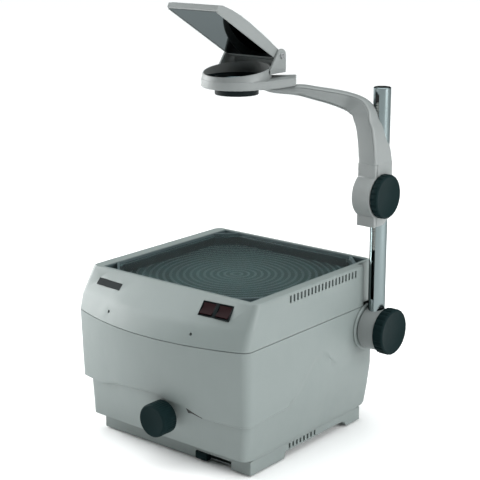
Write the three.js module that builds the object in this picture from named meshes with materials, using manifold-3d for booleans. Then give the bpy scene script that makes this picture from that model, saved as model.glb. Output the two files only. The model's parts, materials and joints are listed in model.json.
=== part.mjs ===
// Overhead projector with a square stage, a lamp house below it, and a projection head on a folding post.
// Millimetres, +Z up. X runs along the front face, Y towards the back. While it is modelled, the origin is on
// the table under the centre of the stage; the finished group is then moved so that its own box stands
// centred on the origin.
import * as THREE from "three";
import { mergeVertices } from "three/addons/utils/BufferGeometryUtils.js";
import Module from "manifold-3d";

const wasm = await Module();
wasm.setup();

// ---------------------------------------------------------------- driving dimensions
const GAP = 0.3; // clearance between neighbouring pieces
const WALL = 3; // moulded wall thickness
const CORNER = 10; // corner radius of the casing in plan

const TABLE_GAP = 2.3; // height of the foot blocks above the table, filled by the rubber feet
const SEAM_Z = 199.3; // parting line between the lower casing and the stage lid
const CREASE_Z = 223; // where the front begins to slope back
const RIM_Z = 265; // top of the stage rim
const SIDE_X = 161.5; // right wall; the left wall is further out
const REAR_Y = 151; // rear of the stage lid
const LOWER_REAR = 146; // rear of the lower casing
const OPENING = 145; // half side of the opening in the rim
const NOTCH = { x: 151, y: 111 }; // step in the lid's right wall beside the post
const LID_AXIS = { y: 156, z: SEAM_Z };

const GLASS_Z = 257; // underside of the stage glass
const FRESNEL_Z = 241;
const STAGE_HALF = 142.5; // half side of the lit window, for sheets of 285 x 285
const CORNER_LEG = 30; // legs of the triangular pockets that make the window an octagon

const POST = { x: 178.7, y: 122, radius: 13, wall: 1.5, bottom: 176, top: 540 };
const HUB = { z: 164.5, radius: 33, inner: 166, outer: 195 };
const LOCK = { radius: 36, thickness: 17 };
const FOCUS = { y: 104.5, z: 380, discRadius: 35, knobRadius: 33.5, knobThickness: 12 };
const COLUMN = { left: 163.2, right: 194.2, front: 85, rear: 131.5, bottom: 334, seam: 430 };
const PINION = { teeth: 8, module: 1.25, rootRadius: 3.6, tipRadius: 5.6 };
const RACK = { bottom: 292, top: 518, tipY: -12.8, rootY: -10.8, backY: -8 };

const HEAD = { radius: 53, bottom: 538, barrelRadius: 33, barrelBottom: 527, tailEnd: 88 };
const MIRROR = { y: 44, z: 583, tilt: 30, halfWidth: 46.6, length: 163 }; // hinge line and rest angle

const LAMP_PITCH = 45; // travel of the lamp changer
const CONDENSER_Z = 92;
const FRINGE = { x: 25.5, z: 80.4, knobRadius: 25, knobBack: -197, face: -224.5, throwRadius: 4.62 };
const CAM_RADIUS = CONDENSER_Z - FRINGE.z - 0.4;

// ---------------------------------------------------------------- materials
function finish(color, roughness, metalness = 0) {
  return new THREE.MeshStandardMaterial({ color, roughness, metalness });
}

const casingGrey = finish(0xa3aca9, 0.55);
const armGrey = finish(0xa8adab, 0.5);
const liningGrey = finish(0x5f7072, 0.5);
const knobBlack = finish(0x1c2627, 0.45);
const rubberBlack = finish(0x18191a, 0.9);
const trimBlack = finish(0x141a1b, 0.35);
const switchRed = finish(0x4a1216, 0.35);
const chrome = finish(0xd9dddd, 0.12, 1);
const steel = finish(0x9a9d9f, 0.35, 1);
const aluminium = finish(0xb9bcbd, 0.4, 1);
const clearGlass = finish(0xb6c8c8, 0.05);
const fresnelPlastic = finish(0x6e8285, 0.25);
const rackPlastic = finish(0xbfc3bf, 0.5);
const copper = finish(0x8a5a3a, 0.5, 0.6);
const ceramic = finish(0xe6e2d8, 0.6);
const mirrorSilver = finish(0xe8ecec, 0.03, 1);

// ---------------------------------------------------------------- solids
// A closed geometry as a manifold solid with its faces outwards.
function toSolid(geometry) {
  const bare = geometry.clone();
  for (const name of Object.keys(bare.attributes)) {
    if (name !== "position") bare.deleteAttribute(name);
  }
  const merged = mergeVertices(bare, 1e-3);
  const index = merged.index.array;
  const corners = [];
  for (let i = 0; i < index.length; i += 3) {
    const [a, b, c] = [index[i], index[i + 1], index[i + 2]];
    if (a !== b && b !== c && c !== a) corners.push(a, b, c);
  }
  const build = (triVerts) =>
    new wasm.Manifold(
      new wasm.Mesh({ numProp: 3, vertProperties: merged.attributes.position.array, triVerts }),
    );
  const made = build(new Uint32Array(corners));
  if (made.volume() > 0) return made;
  return build(new Uint32Array(corners).reverse());
}

function toGeometry(made) {
  const mesh = made.getMesh();
  const geometry = new THREE.BufferGeometry();
  geometry.setAttribute("position", new THREE.BufferAttribute(mesh.vertProperties, 3));
  geometry.setIndex(new THREE.BufferAttribute(mesh.triVerts, 1));
  return geometry;
}

function cut(body, ...tools) {
  return toGeometry(tools.reduce((left, tool) => left.subtract(toSolid(tool)), toSolid(body)));
}

function join(body, ...more) {
  return toGeometry(more.reduce((sum, one) => sum.add(toSolid(one)), toSolid(body)));
}

function common(body, other) {
  return toGeometry(toSolid(body).intersect(toSolid(other)));
}

// The main body of a cut piece, without the crumbs left where a cut grazes its skin.
function largest(geometry) {
  const bodies = toSolid(geometry).decompose();
  return toGeometry(bodies.reduce((best, one) => (one.volume() > best.volume() ? one : best)));
}

function block([x0, x1], [y0, y1], [z0, z1]) {
  const box = new THREE.BoxGeometry(x1 - x0, y1 - y0, z1 - z0);
  return box.translate((x0 + x1) / 2, (y0 + y1) / 2, (z0 + z1) / 2);
}

// A turned piece about +Z from a profile of [radius, height] pairs.
function turned(profile, segments = 28) {
  const points = profile.map(([radius, height]) => new THREE.Vector2(radius, height));
  return new THREE.LatheGeometry(points, segments).rotateX(Math.PI / 2);
}

function rod(radius, from, to, segments = 20) {
  return turned([[0, from], [radius, from], [radius, to], [0, to]], segments);
}

function ring(outer, inner, from, to, segments = 28) {
  return turned([[inner, from], [outer, from], [outer, to], [inner, to], [inner, from]], segments);
}

const towardsRight = (geometry) => geometry.rotateY(Math.PI / 2); // +Z becomes +X
const towardsFront = (geometry) => geometry.rotateX(Math.PI / 2); // +Z becomes -Y

// An outline in the plane of [across, up] pairs, given thickness along X.
function sideProfile(outline, [from, to]) {
  const shape = new THREE.Shape(outline.map(([y, z]) => new THREE.Vector2(y, z)));
  const plate = new THREE.ExtrudeGeometry(shape, { depth: to - from, bevelEnabled: false });
  return plate.rotateX(Math.PI / 2).rotateZ(Math.PI / 2).translate(from, 0, 0);
}

// An outline of [x, y] pairs, given thickness along Z.
function plate(outline, [from, to]) {
  const shape = new THREE.Shape(outline.map(([x, y]) => new THREE.Vector2(x, y)));
  return new THREE.ExtrudeGeometry(shape, { depth: to - from, bevelEnabled: false }).translate(0, 0, from);
}

// A skin over rings of points that all have the same number of points. A closed loft joins its last ring to
// its first, as the wall of a casing does; an open one is capped at both ends.
function loft(rings, closed) {
  const count = rings[0].length;
  const points = rings.flat();
  const faces = [];
  const spans = closed ? rings.length : rings.length - 1;
  for (let i = 0; i < spans; i++) {
    for (let j = 0; j < count; j++) {
      const next = (j + 1) % count;
      const upper = ((i + 1) % rings.length) * count;
      faces.push(i * count + j, i * count + next, upper + next);
      faces.push(i * count + j, upper + next, upper + j);
    }
  }
  if (!closed) {
    for (const end of [0, rings.length - 1]) {
      const centre = rings[end].reduce((sum, p) => sum.clone().add(p), new THREE.Vector3()).divideScalar(count);
      const hub = points.push(centre) - 1;
      for (let j = 0; j < count; j++) {
        const edge = [end * count + j, end * count + ((j + 1) % count)];
        faces.push(...(end === 0 ? edge.reverse() : edge), hub);
      }
    }
  }
  const geometry = new THREE.BufferGeometry().setFromPoints(points);
  geometry.setIndex(faces);
  return geometry;
}

function arc(cx, cy, radius, fromDegrees, toDegrees, steps) {
  const points = [];
  for (let i = 0; i <= steps; i++) {
    const angle = THREE.MathUtils.degToRad(fromDegrees + ((toDegrees - fromDegrees) * i) / steps);
    points.push([cx + radius * Math.cos(angle), cy + radius * Math.sin(angle)]);
  }
  return points;
}

// A square with cut corners, the plan of the stage window.
function octagon(half, leg) {
  const inner = half - leg;
  return [
    [half, -inner], [half, inner], [inner, half], [-inner, half],
    [-half, inner], [-half, -inner], [-inner, -half], [inner, -half],
  ];
}

function piece(group, name, geometry, material) {
  const mesh = new THREE.Mesh(geometry, material);
  mesh.name = name;
  group.add(mesh);
  return mesh;
}

// ---------------------------------------------------------------- casing outlines
const FRONT_STEPS = 10;
const CORNER_STEPS = 3;

// The plan of the casing at one level, drawn inwards by an inset. The front is bowed forward by `bow` at its
// middle. `step` is the notch beside the post, or null for a plain corner.
function casingRing({ z, left, right, front, bow, rear, step, round = CORNER, rearRound = round }, inset = 0) {
  const [l, r, f, b] = [left + inset, right - inset, front + inset, rear - inset];
  const radius = Math.max(round - inset, 1);
  const rearRadius = Math.max(rearRound - inset, 1);
  const frontEdge = [];
  for (let i = 1; i < FRONT_STEPS; i++) {
    frontEdge.push([l + radius + ((r - l - 2 * radius) * i) / FRONT_STEPS, f]);
  }
  const swell = ([x, y]) => [x, y - bow * (1 - ((x - (l + r) / 2) / ((r - l) / 2)) ** 2)];
  const faceRight = step
    ? [[r, step.y - inset], [Math.min(step.x, right) - inset, step.y - inset]]
    : [];
  const rearX = step ? Math.min(step.x, right) - inset : r;
  const outline = [
    ...arc(l + radius, f + radius, radius, 180, 270, CORNER_STEPS).map(swell),
    ...frontEdge.map(swell),
    ...arc(r - radius, f + radius, radius, 270, 360, CORNER_STEPS).map(swell),
    ...faceRight,
    ...arc(rearX - rearRadius, b - rearRadius, rearRadius, 0, 90, CORNER_STEPS),
    ...arc(l + rearRadius, b - rearRadius, rearRadius, 90, 180, CORNER_STEPS),
  ];
  return outline.map(([x, y]) => new THREE.Vector3(x, y, z));
}

// The front's bow fades towards the foot of the lower casing.
const FULL_BOW = 35;
const bowAt = (z) => FULL_BOW * (1 - 0.9 * ((SEAM_Z - z) / 163) ** 2);

function lowerLevel(z, left, right, front) {
  return { z, left, right, front, rear: LOWER_REAR, bow: bowAt(z), step: null, rearRound: 14 };
}

// From the foot up: underside, lower wall, hand grip overhang on the left, upper wall.
const LOWER_LEVELS = [
  { z: 24, left: -151, right: 147, front: -148, rear: 129, bow: 0, step: null },
  { z: 27, left: -154, right: 148.5, front: -160, rear: 144, bow: 1, step: null },
  lowerLevel(31, -155, 150, -168),
  lowerLevel(60, -156, 154, -170),
  lowerLevel(86, -157, 158, -171),
  lowerLevel(92, -170, SIDE_X, -172),
  lowerLevel(123, -172, SIDE_X, -172.5),
  lowerLevel(160, -173, SIDE_X, -172.5),
  lowerLevel(SEAM_Z - 0.5, -174, SIDE_X, -172.5),
];
const GRIP_Z = 92;

function upperLevel(z, left, right, front, rear, bow, step = NOTCH) {
  return { z, left, right, front, rear, bow, step };
}

function openingLevel(z, half) {
  return { ...upperLevel(z, -half, half, -half, half, 0), round: 1 };
}

// ---------------------------------------------------------------- base
const base = new THREE.Group();

// Shallow moulding under the casing, with a foot block along its front and one along its back.
function baseTray() {
  const [front, rear, side] = [-147, 129.5, 146.6];
  const frontBlock = -67;
  const rearBlock = 96;
  const raised = 12.5;
  const top = 23.6;
  const archRadius = 14;
  const outline = [
    [front, TABLE_GAP], [frontBlock, TABLE_GAP], [frontBlock + 4, raised],
    [rearBlock - archRadius, raised],
    ...arc(rearBlock - archRadius, TABLE_GAP, archRadius - 4, 90, 0, 5).slice(1, -1),
    [rearBlock, TABLE_GAP], [rear, TABLE_GAP], [rear, top], [front, top],
  ];
  const hollows = [
    block([-side + WALL, side - WALL], [front + 2.5, frontBlock - 2], [TABLE_GAP + 2.5, top + 1]),
    block([-side + WALL, side - WALL], [frontBlock - 3, rearBlock + 3], [raised + 2.5, top + 1]),
    block([-side + WALL, side - WALL], [rearBlock + 2.5, rear - 2.5], [TABLE_GAP + 2.5, top + 1]),
  ];
  const slot = block([42, 42 + 22 + LAMP_PITCH + 1.5], [front - 1, front + 9.5], [TABLE_GAP - 1, 14.6]);
  const vents = [];
  for (let i = 0; i < 8; i++) {
    const y = -54 + 9 * i;
    vents.push(block([side - WALL - 1, side + 1], [y - 2.2, y + 2.2], [raised + 2, top - 1]));
  }
  return cut(sideProfile(outline, [-side, side]), ...hollows, slot, ...vents);
}

piece(base, "base_tray", baseTray(), casingGrey);

const FOOT = { x: 122, frontY: -134, rearY: 114, radius: 10 };
for (const [side, x] of [["left", -FOOT.x], ["right", FOOT.x]]) {
  for (const [end, y] of [["front", FOOT.frontY], ["rear", FOOT.rearY]]) {
    const foot = turned([[0, 0], [FOOT.radius - 1, 0], [FOOT.radius, 1], [FOOT.radius, 2], [0, 2]], 24);
    piece(base, `foot_${end}_${side}`, foot, rubberBlack).position.set(x, y, 0);
  }
}

const KNUCKLE = { radius: 4, bore: 2.5, pin: 2.1, width: 9, spacing: 95 };

// Barrels of the lid hinges at the given places along X, with the webs that carry them.
function knuckles(centres, webFrom, webTo) {
  return centres.map((x) => {
    const half = KNUCKLE.width / 2;
    const barrel = towardsRight(rod(KNUCKLE.radius, x - half, x + half, 20)).translate(0, LID_AXIS.y, LID_AXIS.z);
    const web = block([x - half, x + half], [LOWER_REAR - 2, LID_AXIS.y], [webFrom, webTo]);
    return join(barrel, web);
  });
}

function hingeBores() {
  return [-KNUCKLE.spacing, KNUCKLE.spacing].map((x) =>
    towardsRight(rod(KNUCKLE.bore, x - 20, x + 20, 20)).translate(0, LID_AXIS.y, LID_AXIS.z),
  );
}

const besideLidKnuckle = KNUCKLE.width + GAP * 2;
const lowerKnuckleX = [-KNUCKLE.spacing, KNUCKLE.spacing].flatMap((x) => [x - besideLidKnuckle, x + besideLidKnuckle]);

const INLET = { x: 100, z: 60, halfWidth: 14, halfHeight: 11 };
const FAN = { x: -60, z: 100, half: 40, bore: 37, front: 117, rear: 142.5 };

function lowerHousing() {
  const outer = LOWER_LEVELS.map((level) => casingRing(level));
  const inner = LOWER_LEVELS.map((level, i) => {
    const lifted = i > 0 && level.z <= GRIP_Z ? 2.5 : 0;
    return casingRing({ ...level, z: level.z + lifted }, WALL);
  });
  const shell = loft([...outer, ...inner.reverse()], true);
  const shaftHole = towardsRight(rod(8.6, 150, 170, 20)).translate(0, POST.y, HUB.z);
  const fringeHole = towardsFront(rod(4, 150, 200)).translate(FRINGE.x, 0, FRINGE.z);
  const inletHole = block(
    [INLET.x - INLET.halfWidth, INLET.x + INLET.halfWidth],
    [LOWER_REAR - 6, LOWER_REAR + 2],
    [INLET.z - INLET.halfHeight, INLET.z + INLET.halfHeight],
  );
  const grille = [];
  for (let i = -4; i <= 4; i++) {
    const z = FAN.z + 8 * i;
    grille.push(block([FAN.x - 34, FAN.x + 34], [LOWER_REAR - 6, LOWER_REAR + 2], [z - 2, z + 2]));
  }
  const webbed = join(shell, ...knuckles(lowerKnuckleX, SEAM_Z - 7, SEAM_Z - 0.5));
  return cut(webbed, shaftHole, fringeHole, inletHole, ...grille, ...hingeBores());
}

piece(base, "lower_housing", lowerHousing(), casingGrey);

for (const [side, x] of [["left", -KNUCKLE.spacing], ["right", KNUCKLE.spacing]]) {
  const pin = towardsRight(rod(KNUCKLE.pin, -15, 15, 16));
  piece(base, `lid_hinge_pin_${side}`, pin, steel).position.set(x, LID_AXIS.y, LID_AXIS.z);
}

// Mains inlet: a shrouded body with three blades.
function powerInlet() {
  const [w, h] = [INLET.halfWidth - GAP, INLET.halfHeight - GAP];
  const body = block([-w, w], [LOWER_REAR - 22, LOWER_REAR + 0.6], [-h, h]);
  const flange = block([-w - 3, w + 3], [LOWER_REAR - 5.5, LOWER_REAR - 3.5], [-h - 3, h + 3]);
  const well = block([-w + 3, w - 3], [LOWER_REAR - 14, LOWER_REAR + 2], [-h + 3, h - 3]);
  const blade = (x, z) => block([x - 1, x + 1], [LOWER_REAR - 15, LOWER_REAR - 3], [z - 2.5, z + 2.5]);
  return join(cut(join(body, flange), well), blade(-6, -1), blade(6, -1), blade(0, 3));
}

piece(base, "power_inlet", powerInlet(), trimBlack).position.set(INLET.x, 0, INLET.z);

// Mains transformer: a stack of laminations with a winding on each side.
function transformer() {
  const core = block([-140, -92], [-60, 20], [15.3, 70]);
  const winding = block([-137, -95], [-70, 30], [26, 60]);
  return join(core, winding);
}

piece(base, "transformer", transformer(), copper);

// Cooling fan: square frame, three struts holding the motor, and a bladed rotor.
function fanHousing() {
  const depth = [FAN.front, FAN.rear];
  const frame = block([-FAN.half, FAN.half], depth, [-FAN.half, FAN.half]);
  const bore = towardsFront(rod(FAN.bore, -FAN.rear - 1, -FAN.front + 1, 40));
  const motor = towardsFront(rod(15, -FAN.rear, -FAN.rear + 5, 24));
  const strut = () => block([-2, 2], [FAN.rear - 4, FAN.rear], [10, FAN.bore + 2]);
  const struts = [0, 1, 2].map((i) => strut().rotateY((i * 2 * Math.PI) / 3));
  return join(cut(frame, bore), motor, ...struts);
}

function fanRotor() {
  const back = -FAN.rear + 5.6;
  const front = -FAN.front - 1;
  const blades = [0, 1, 2, 3, 4, 5, 6].map((i) => {
    const blade = block([-1, 1], [-8, 8], [12, FAN.bore - 1.5]).rotateZ(THREE.MathUtils.degToRad(40));
    return blade.translate(0, -(back + front) / 2, 0).rotateY((i * 2 * Math.PI) / 7);
  });
  return join(towardsFront(rod(14, back, front, 28)), ...blades);
}

piece(base, "fan_housing", fanHousing(), trimBlack).position.set(FAN.x, 0, FAN.z);
piece(base, "fan_rotor", fanRotor(), knobBlack).position.set(FAN.x, 0, FAN.z);

// ---------------------------------------------------------------- lamp house
const RAIL = { left: -85, right: 130, inner: 32, outer: 36, bottom: 42, top: 52 };

// Two rails on legs, which the lamp carriage slides between.
function lampRail() {
  const legTo = 15.3;
  const side = (y0, y1) => block([RAIL.left, RAIL.right], [y0, y1], [RAIL.bottom, RAIL.top]);
  const cross = (x) => block([x, x + 5], [-RAIL.outer, RAIL.outer], [RAIL.bottom, RAIL.bottom + 4]);
  const leg = (x, y) => block([x, x + 5], [y, y + 4], [legTo, RAIL.bottom + 1]);
  return join(
    side(-RAIL.outer, -RAIL.inner),
    side(RAIL.inner, RAIL.outer),
    ...[RAIL.left, RAIL.right - 5].flatMap((x) => [cross(x), leg(x, -RAIL.outer), leg(x, RAIL.inner)]),
  );
}

piece(base, "lamp_rail", lampRail(), aluminium);

// Carriage with its two lamp sockets, and the bar that the changer tab pulls it by.
function lampCarriage() {
  const floor = block([-70, 60], [-RAIL.inner + GAP, RAIL.inner - GAP], [44, 47]);
  const riser = block([48, 58], [-28, -24], [17, 45]);
  const bar = block([48, 58], [-136, -24], [17, 20]);
  const hook = block([48, 58], [-138.5, -135.5], [6, 20]);
  const sockets = [0, -LAMP_PITCH].map((x) => rod(9, 34, 47.2, 20).translate(x, 0, 0));
  return join(floor, riser, bar, hook, ...sockets);
}

function halogenLamp() {
  return turned([[0, 47.5], [4, 47.5], [6.5, 51], [6.5, 68], [4.5, 73], [1.2, 75], [0.8, 78], [0, 78]], 20);
}

piece(base, "lamp_carriage", lampCarriage(), aluminium);
for (const [use, x] of [["main", 0], ["spare", -LAMP_PITCH]]) {
  piece(base, `lamp_${use}`, halogenLamp(), clearGlass).position.x = x;
}

const tab = block([42.6, 64.6], [-149.5, -139], [2.8, 14]);
piece(base, "lamp_change_tab", tab, knobBlack);

// Spherical mirror under the lamp in use.
function reflector() {
  const bowl = [[0, 18], [14, 20], [24, 25], [29, 32.5], [27.5, 33], [22.5, 26.8], [13, 22], [0, 20]];
  return join(turned(bowl, 32), rod(3, 15.3, 19, 16));
}

piece(base, "reflector", reflector(), mirrorSilver);

function condenserBracket() {
  const deck = block([-62, 62], [-48, 48], [80, 82]);
  const leg = (x, y) => block([x - 3, x + 3], [y - 1.8, y + 1.8], [RAIL.top + GAP, 81]);
  const middle = (RAIL.inner + RAIL.outer) / 2;
  const legs = [-57, 57].flatMap((x) => [leg(x, -middle), leg(x, middle)]);
  return join(cut(deck, rod(34, 79, 83)), ...legs);
}

piece(base, "condenser_bracket", condenserBracket(), aluminium);
piece(base, "heat_glass", rod(38, 82.3, 85.3, 32), clearGlass);
piece(base, "thermal_cutout", rod(8, 82.3, 90, 20), ceramic).position.set(-50, 36, 0);

// Condenser in its ring, lifted by a finger that rests on the fringe cam.
function condenserHolder() {
  const cup = turned([[37, 0], [46, 0], [46, 12], [41, 12], [41, 2], [37, 2], [37, 0]], 36);
  return join(cup, block([FRINGE.x - 5, FRINGE.x + 5], [-56, -39], [0, 3])).translate(0, 0, CONDENSER_Z);
}

function condenserLens() {
  const sag = arc(0, -38, 57, 44.8, 90, 4).map(([x, y]) => [Math.max(x, 0), y]);
  return turned([[0, 2.4], [40.5, 2.4], ...sag]).translate(0, 0, CONDENSER_Z);
}

piece(base, "condenser_holder", condenserHolder(), aluminium);
piece(base, "condenser_lens", condenserLens(), clearGlass);

// Knob, shaft and eccentric cam that raise or lower the condenser to clear coloured fringes.
const fringe = new THREE.Group();
fringe.position.set(FRINGE.x, 0, FRINGE.z);
base.add(fringe);

function flutedKnob(radius, height, flutes) {
  const body = turned(
    [[0, 0], [radius - 1, 0], [radius, 1], [radius, height - 5], [radius - 2, height - 1.5], [radius - 6, height],
      [0, height]], 32);
  const grooves = [];
  for (let i = 0; i < flutes; i++) {
    const groove = rod(2.2, -1, height - 5, 6).translate(radius + 1.2, 0, 0);
    grooves.push(groove.rotateZ((i * 2 * Math.PI) / flutes));
  }
  return cut(body, ...grooves);
}

piece(fringe, "fringe_shaft", towardsFront(rod(3, 48, -FRINGE.knobBack - GAP, 16)), steel);
const fringeBore = towardsFront(rod(3.3, 49.7, 55.3, 16));
const fringeDisc = towardsFront(rod(CAM_RADIUS, 50, 55, 28)).translate(FRINGE.throwRadius, 0, 0);
piece(fringe, "fringe_cam", cut(fringeDisc, fringeBore), ceramic);
const fringeKnob = flutedKnob(FRINGE.knobRadius, FRINGE.knobBack - FRINGE.face, 0);
towardsFront(fringeKnob).translate(0, FRINGE.knobBack, 0);
piece(fringe, "fringe_knob", fringeKnob, knobBlack);

// ---------------------------------------------------------------- stage lid
const lid = new THREE.Group();

const SLOPE = THREE.MathUtils.degToRad(49); // tilt of the front panel from level
const PANEL = { x: 98, y: -165.2, z: 248.2, halfWidth: 26.5, halfHeight: 11.5, yaw: THREE.MathUtils.degToRad(4.2) };
const BADGE = { x: -114, y: -163.7, z: 246.5, halfWidth: 26, halfHeight: 5.5, yaw: THREE.MathUtils.degToRad(-5) };

// Moves a geometry made flat, facing +Z, onto the sloping front at the given place.
function ontoSlope(geometry, { x, y, z, yaw }) {
  return geometry.rotateX(SLOPE).rotateZ(yaw).translate(x, y, z);
}

const SCREW_HOLES = { z: 215, left: -89, right: 74 }; // reach the lid's catches from outside

function upperHousing() {
  const outer = [
    upperLevel(SEAM_Z + 0.5, -174, SIDE_X, -172.5, REAR_Y, FULL_BOW),
    upperLevel(CREASE_Z, -173.5, SIDE_X, -167, REAR_Y + 0.3, 29),
    upperLevel(CREASE_Z + 9, -172, SIDE_X, -163.5, REAR_Y + 0.4, 22.5),
    upperLevel(RIM_Z - 3, -165.5, SIDE_X, -152.5, REAR_Y + 0.8, 0.5),
  ];
  const rings = [
    ...outer.map((level) => casingRing(level)),
    casingRing(upperLevel(RIM_Z, -163.5, SIDE_X - 2, -150.5, REAR_Y - 1, 0, { x: NOTCH.x - 1.5, y: NOTCH.y - 2 })),
    casingRing(openingLevel(RIM_Z, OPENING)),
    casingRing(openingLevel(238, OPENING)),
    casingRing(openingLevel(238, OPENING + 2)),
    casingRing(openingLevel(RIM_Z - 3, OPENING + 2)),
    ...outer.reverse().map((level) => casingRing(level, WALL)),
  ];
  const vents = [];
  for (let i = 0; i < 20; i++) {
    const y = -74.5 + 8.6 * i;
    vents.push(block([SIDE_X - 5, SIDE_X + 1], [y - 2.1, y + 2.1], [250, 261]));
  }
  const switchHole = block(
    [-PANEL.halfWidth - GAP, PANEL.halfWidth + GAP],
    [-PANEL.halfHeight - GAP, PANEL.halfHeight + GAP],
    [-8, 8],
  );
  const badgePocket = block(
    [-BADGE.halfWidth - GAP, BADGE.halfWidth + GAP],
    [-BADGE.halfHeight - GAP, BADGE.halfHeight + GAP],
    [-0.9, 4],
  );
  const screwHoles = [SCREW_HOLES.left, SCREW_HOLES.right].map((x) =>
    towardsFront(rod(2.3, 175, 200, 12)).translate(x, 0, SCREW_HOLES.z),
  );
  const lidKnuckles = knuckles([-KNUCKLE.spacing, KNUCKLE.spacing], SEAM_Z + 0.5, SEAM_Z + 7);
  return cut(
    join(loft(rings, true), ...lidKnuckles),
    ...vents,
    ontoSlope(switchHole, PANEL),
    ontoSlope(badgePocket, BADGE),
    ...screwHoles,
    ...hingeBores(),
  );
}

piece(lid, "upper_housing", upperHousing(), casingGrey);

// Frame that carries the glass and the Fresnel lens on two ledges.
function stageFrame() {
  const outer = OPENING - 2 * GAP;
  const body = block([-outer, outer], [-outer, outer], [239, RIM_Z - 0.5]);
  const window = (half, from, to) => plate(octagon(half, CORNER_LEG), [from, to]);
  const pocketLeg = CORNER_LEG - 6;
  const pockets = [[1, 1], [-1, 1], [-1, -1], [1, -1]].map(([sx, sy]) => {
    const inner = STAGE_HALF - 0.5;
    const corner = [[sx * inner, sy * inner], [sx * (inner - pocketLeg), sy * inner], [sx * inner, sy * (inner - pocketLeg)]];
    if (sx * sy < 0) corner.reverse();
    return plate(corner, [250, RIM_Z + 1]);
  });
  return cut(
    body,
    window(STAGE_HALF, GLASS_Z - GAP, RIM_Z),
    window(STAGE_HALF - 4, FRESNEL_Z - GAP, RIM_Z),
    window(STAGE_HALF - 7, 230, RIM_Z),
    ...pockets,
  );
}

piece(lid, "stage_frame", stageFrame(), liningGrey);
piece(lid, "stage_glass", plate(octagon(STAGE_HALF - GAP, CORNER_LEG), [GLASS_Z, GLASS_Z + 4]), clearGlass);
const fresnelPlate = plate(octagon(STAGE_HALF - 4 - GAP, CORNER_LEG), [FRESNEL_Z, FRESNEL_Z + 2.5]);
piece(lid, "fresnel_lens", fresnelPlate, fresnelPlastic);

// Switch panel: a sunken bezel with two rockers that tip about X across the slope.
const ROCKER = { halfWidth: 10.5, halfHeight: 9, x: 14, axisDepth: -4 };

const panel = new THREE.Group();
panel.position.set(PANEL.x, PANEL.y, PANEL.z);
panel.rotation.set(SLOPE, 0, PANEL.yaw, "ZYX");
lid.add(panel);

function switchPanel() {
  const plateHalf = [PANEL.halfWidth, PANEL.halfHeight];
  const slab = block([-plateHalf[0], plateHalf[0]], [-plateHalf[1], plateHalf[1]], [-9, 0.6]);
  const wells = [-ROCKER.x, ROCKER.x].map((x) =>
    block([x - ROCKER.halfWidth - 0.6, x + ROCKER.halfWidth + 0.6], [-ROCKER.halfHeight - 1.2, ROCKER.halfHeight + 1.2], [-7.4, 1]),
  );
  return cut(slab, ...wells);
}

// A rocker is a shallow V, so that one half is down at each end of its travel.
function rocker() {
  const { halfWidth, halfHeight } = ROCKER;
  const outline = [[-halfHeight, -1], [0, -3.5], [halfHeight, -1], [halfHeight, 2.2], [0, 0.4], [-halfHeight, 2.2]];
  return sideProfile(outline, [-halfWidth, halfWidth]);
}

piece(panel, "switch_panel", switchPanel(), trimBlack);
for (const [name, x] of [["power_switch", -ROCKER.x], ["brightness_switch", ROCKER.x]]) {
  const mesh = piece(panel, name, rocker(), switchRed);
  mesh.position.set(x, 0, ROCKER.axisDepth + 3);
  mesh.rotation.x = THREE.MathUtils.degToRad(-6);
}

const badge = block([-BADGE.halfWidth, BADGE.halfWidth], [-BADGE.halfHeight, BADGE.halfHeight], [-0.5, 0.5]);
piece(lid, "front_badge", ontoSlope(badge, BADGE), trimBlack);

// ---------------------------------------------------------------- post, drawn about its own axis
const mast = new THREE.Group();
mast.position.set(POST.x, POST.y, 0);

const hubAxis = (geometry) => towardsRight(geometry).translate(-POST.x, 0, HUB.z);

piece(mast, "post_flange", hubAxis(ring(37, 8.6, SIDE_X + 0.4, SIDE_X + 3.6, 36)), casingGrey);
const pivotProfile = [[0, 150], [14, 150], [14, 156], [8, 156], [8, HUB.outer + 8], [0, HUB.outer + 8]];
piece(mast, "pivot_shaft", hubAxis(turned(pivotProfile, 24)), steel);

function postHub() {
  const { radius, inner, outer } = HUB;
  const profile = [[8.4, inner], [radius - 1.5, inner], [radius, inner + 1.5], [radius, outer - 3], [radius - 3, outer],
    [8.4, outer], [8.4, inner]];
  const socket = rod(POST.radius + GAP, POST.bottom - GAP, HUB.z + radius + 5, 32);
  return cut(hubAxis(turned(profile, 36)), socket);
}

piece(mast, "post_hub", postHub(), armGrey);

// Threaded knob that clamps the hub against the flange.
const lockBore = rod(8.4, -1, 8.4, 24);
const lockKnob = cut(flutedKnob(LOCK.radius, LOCK.thickness, 12), lockBore);
piece(mast, "lock_knob", hubAxis(lockKnob.translate(0, 0, HUB.outer + 0.4)), knobBlack);

const SLOT = { halfWidth: 3, bottom: 214, top: 534 };

function postTube() {
  const tube = ring(POST.radius, POST.radius - POST.wall, POST.bottom, POST.top - 2, 40);
  const slot = block([-SLOT.halfWidth, SLOT.halfWidth], [-POST.radius - 1, -POST.radius + 4], [SLOT.bottom, SLOT.top]);
  return cut(tube, slot);
}

piece(mast, "post_tube", postTube(), chrome);
const capProfile = [[0, POST.top - 10], [11.2, POST.top - 10], [11.2, POST.top - 2 + GAP], [13, POST.top - 2 + GAP],
  [12, POST.top], [0, POST.top]];
piece(mast, "post_cap", turned(capProfile, 32), chrome);

const PITCH = Math.PI * PINION.module;

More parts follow.
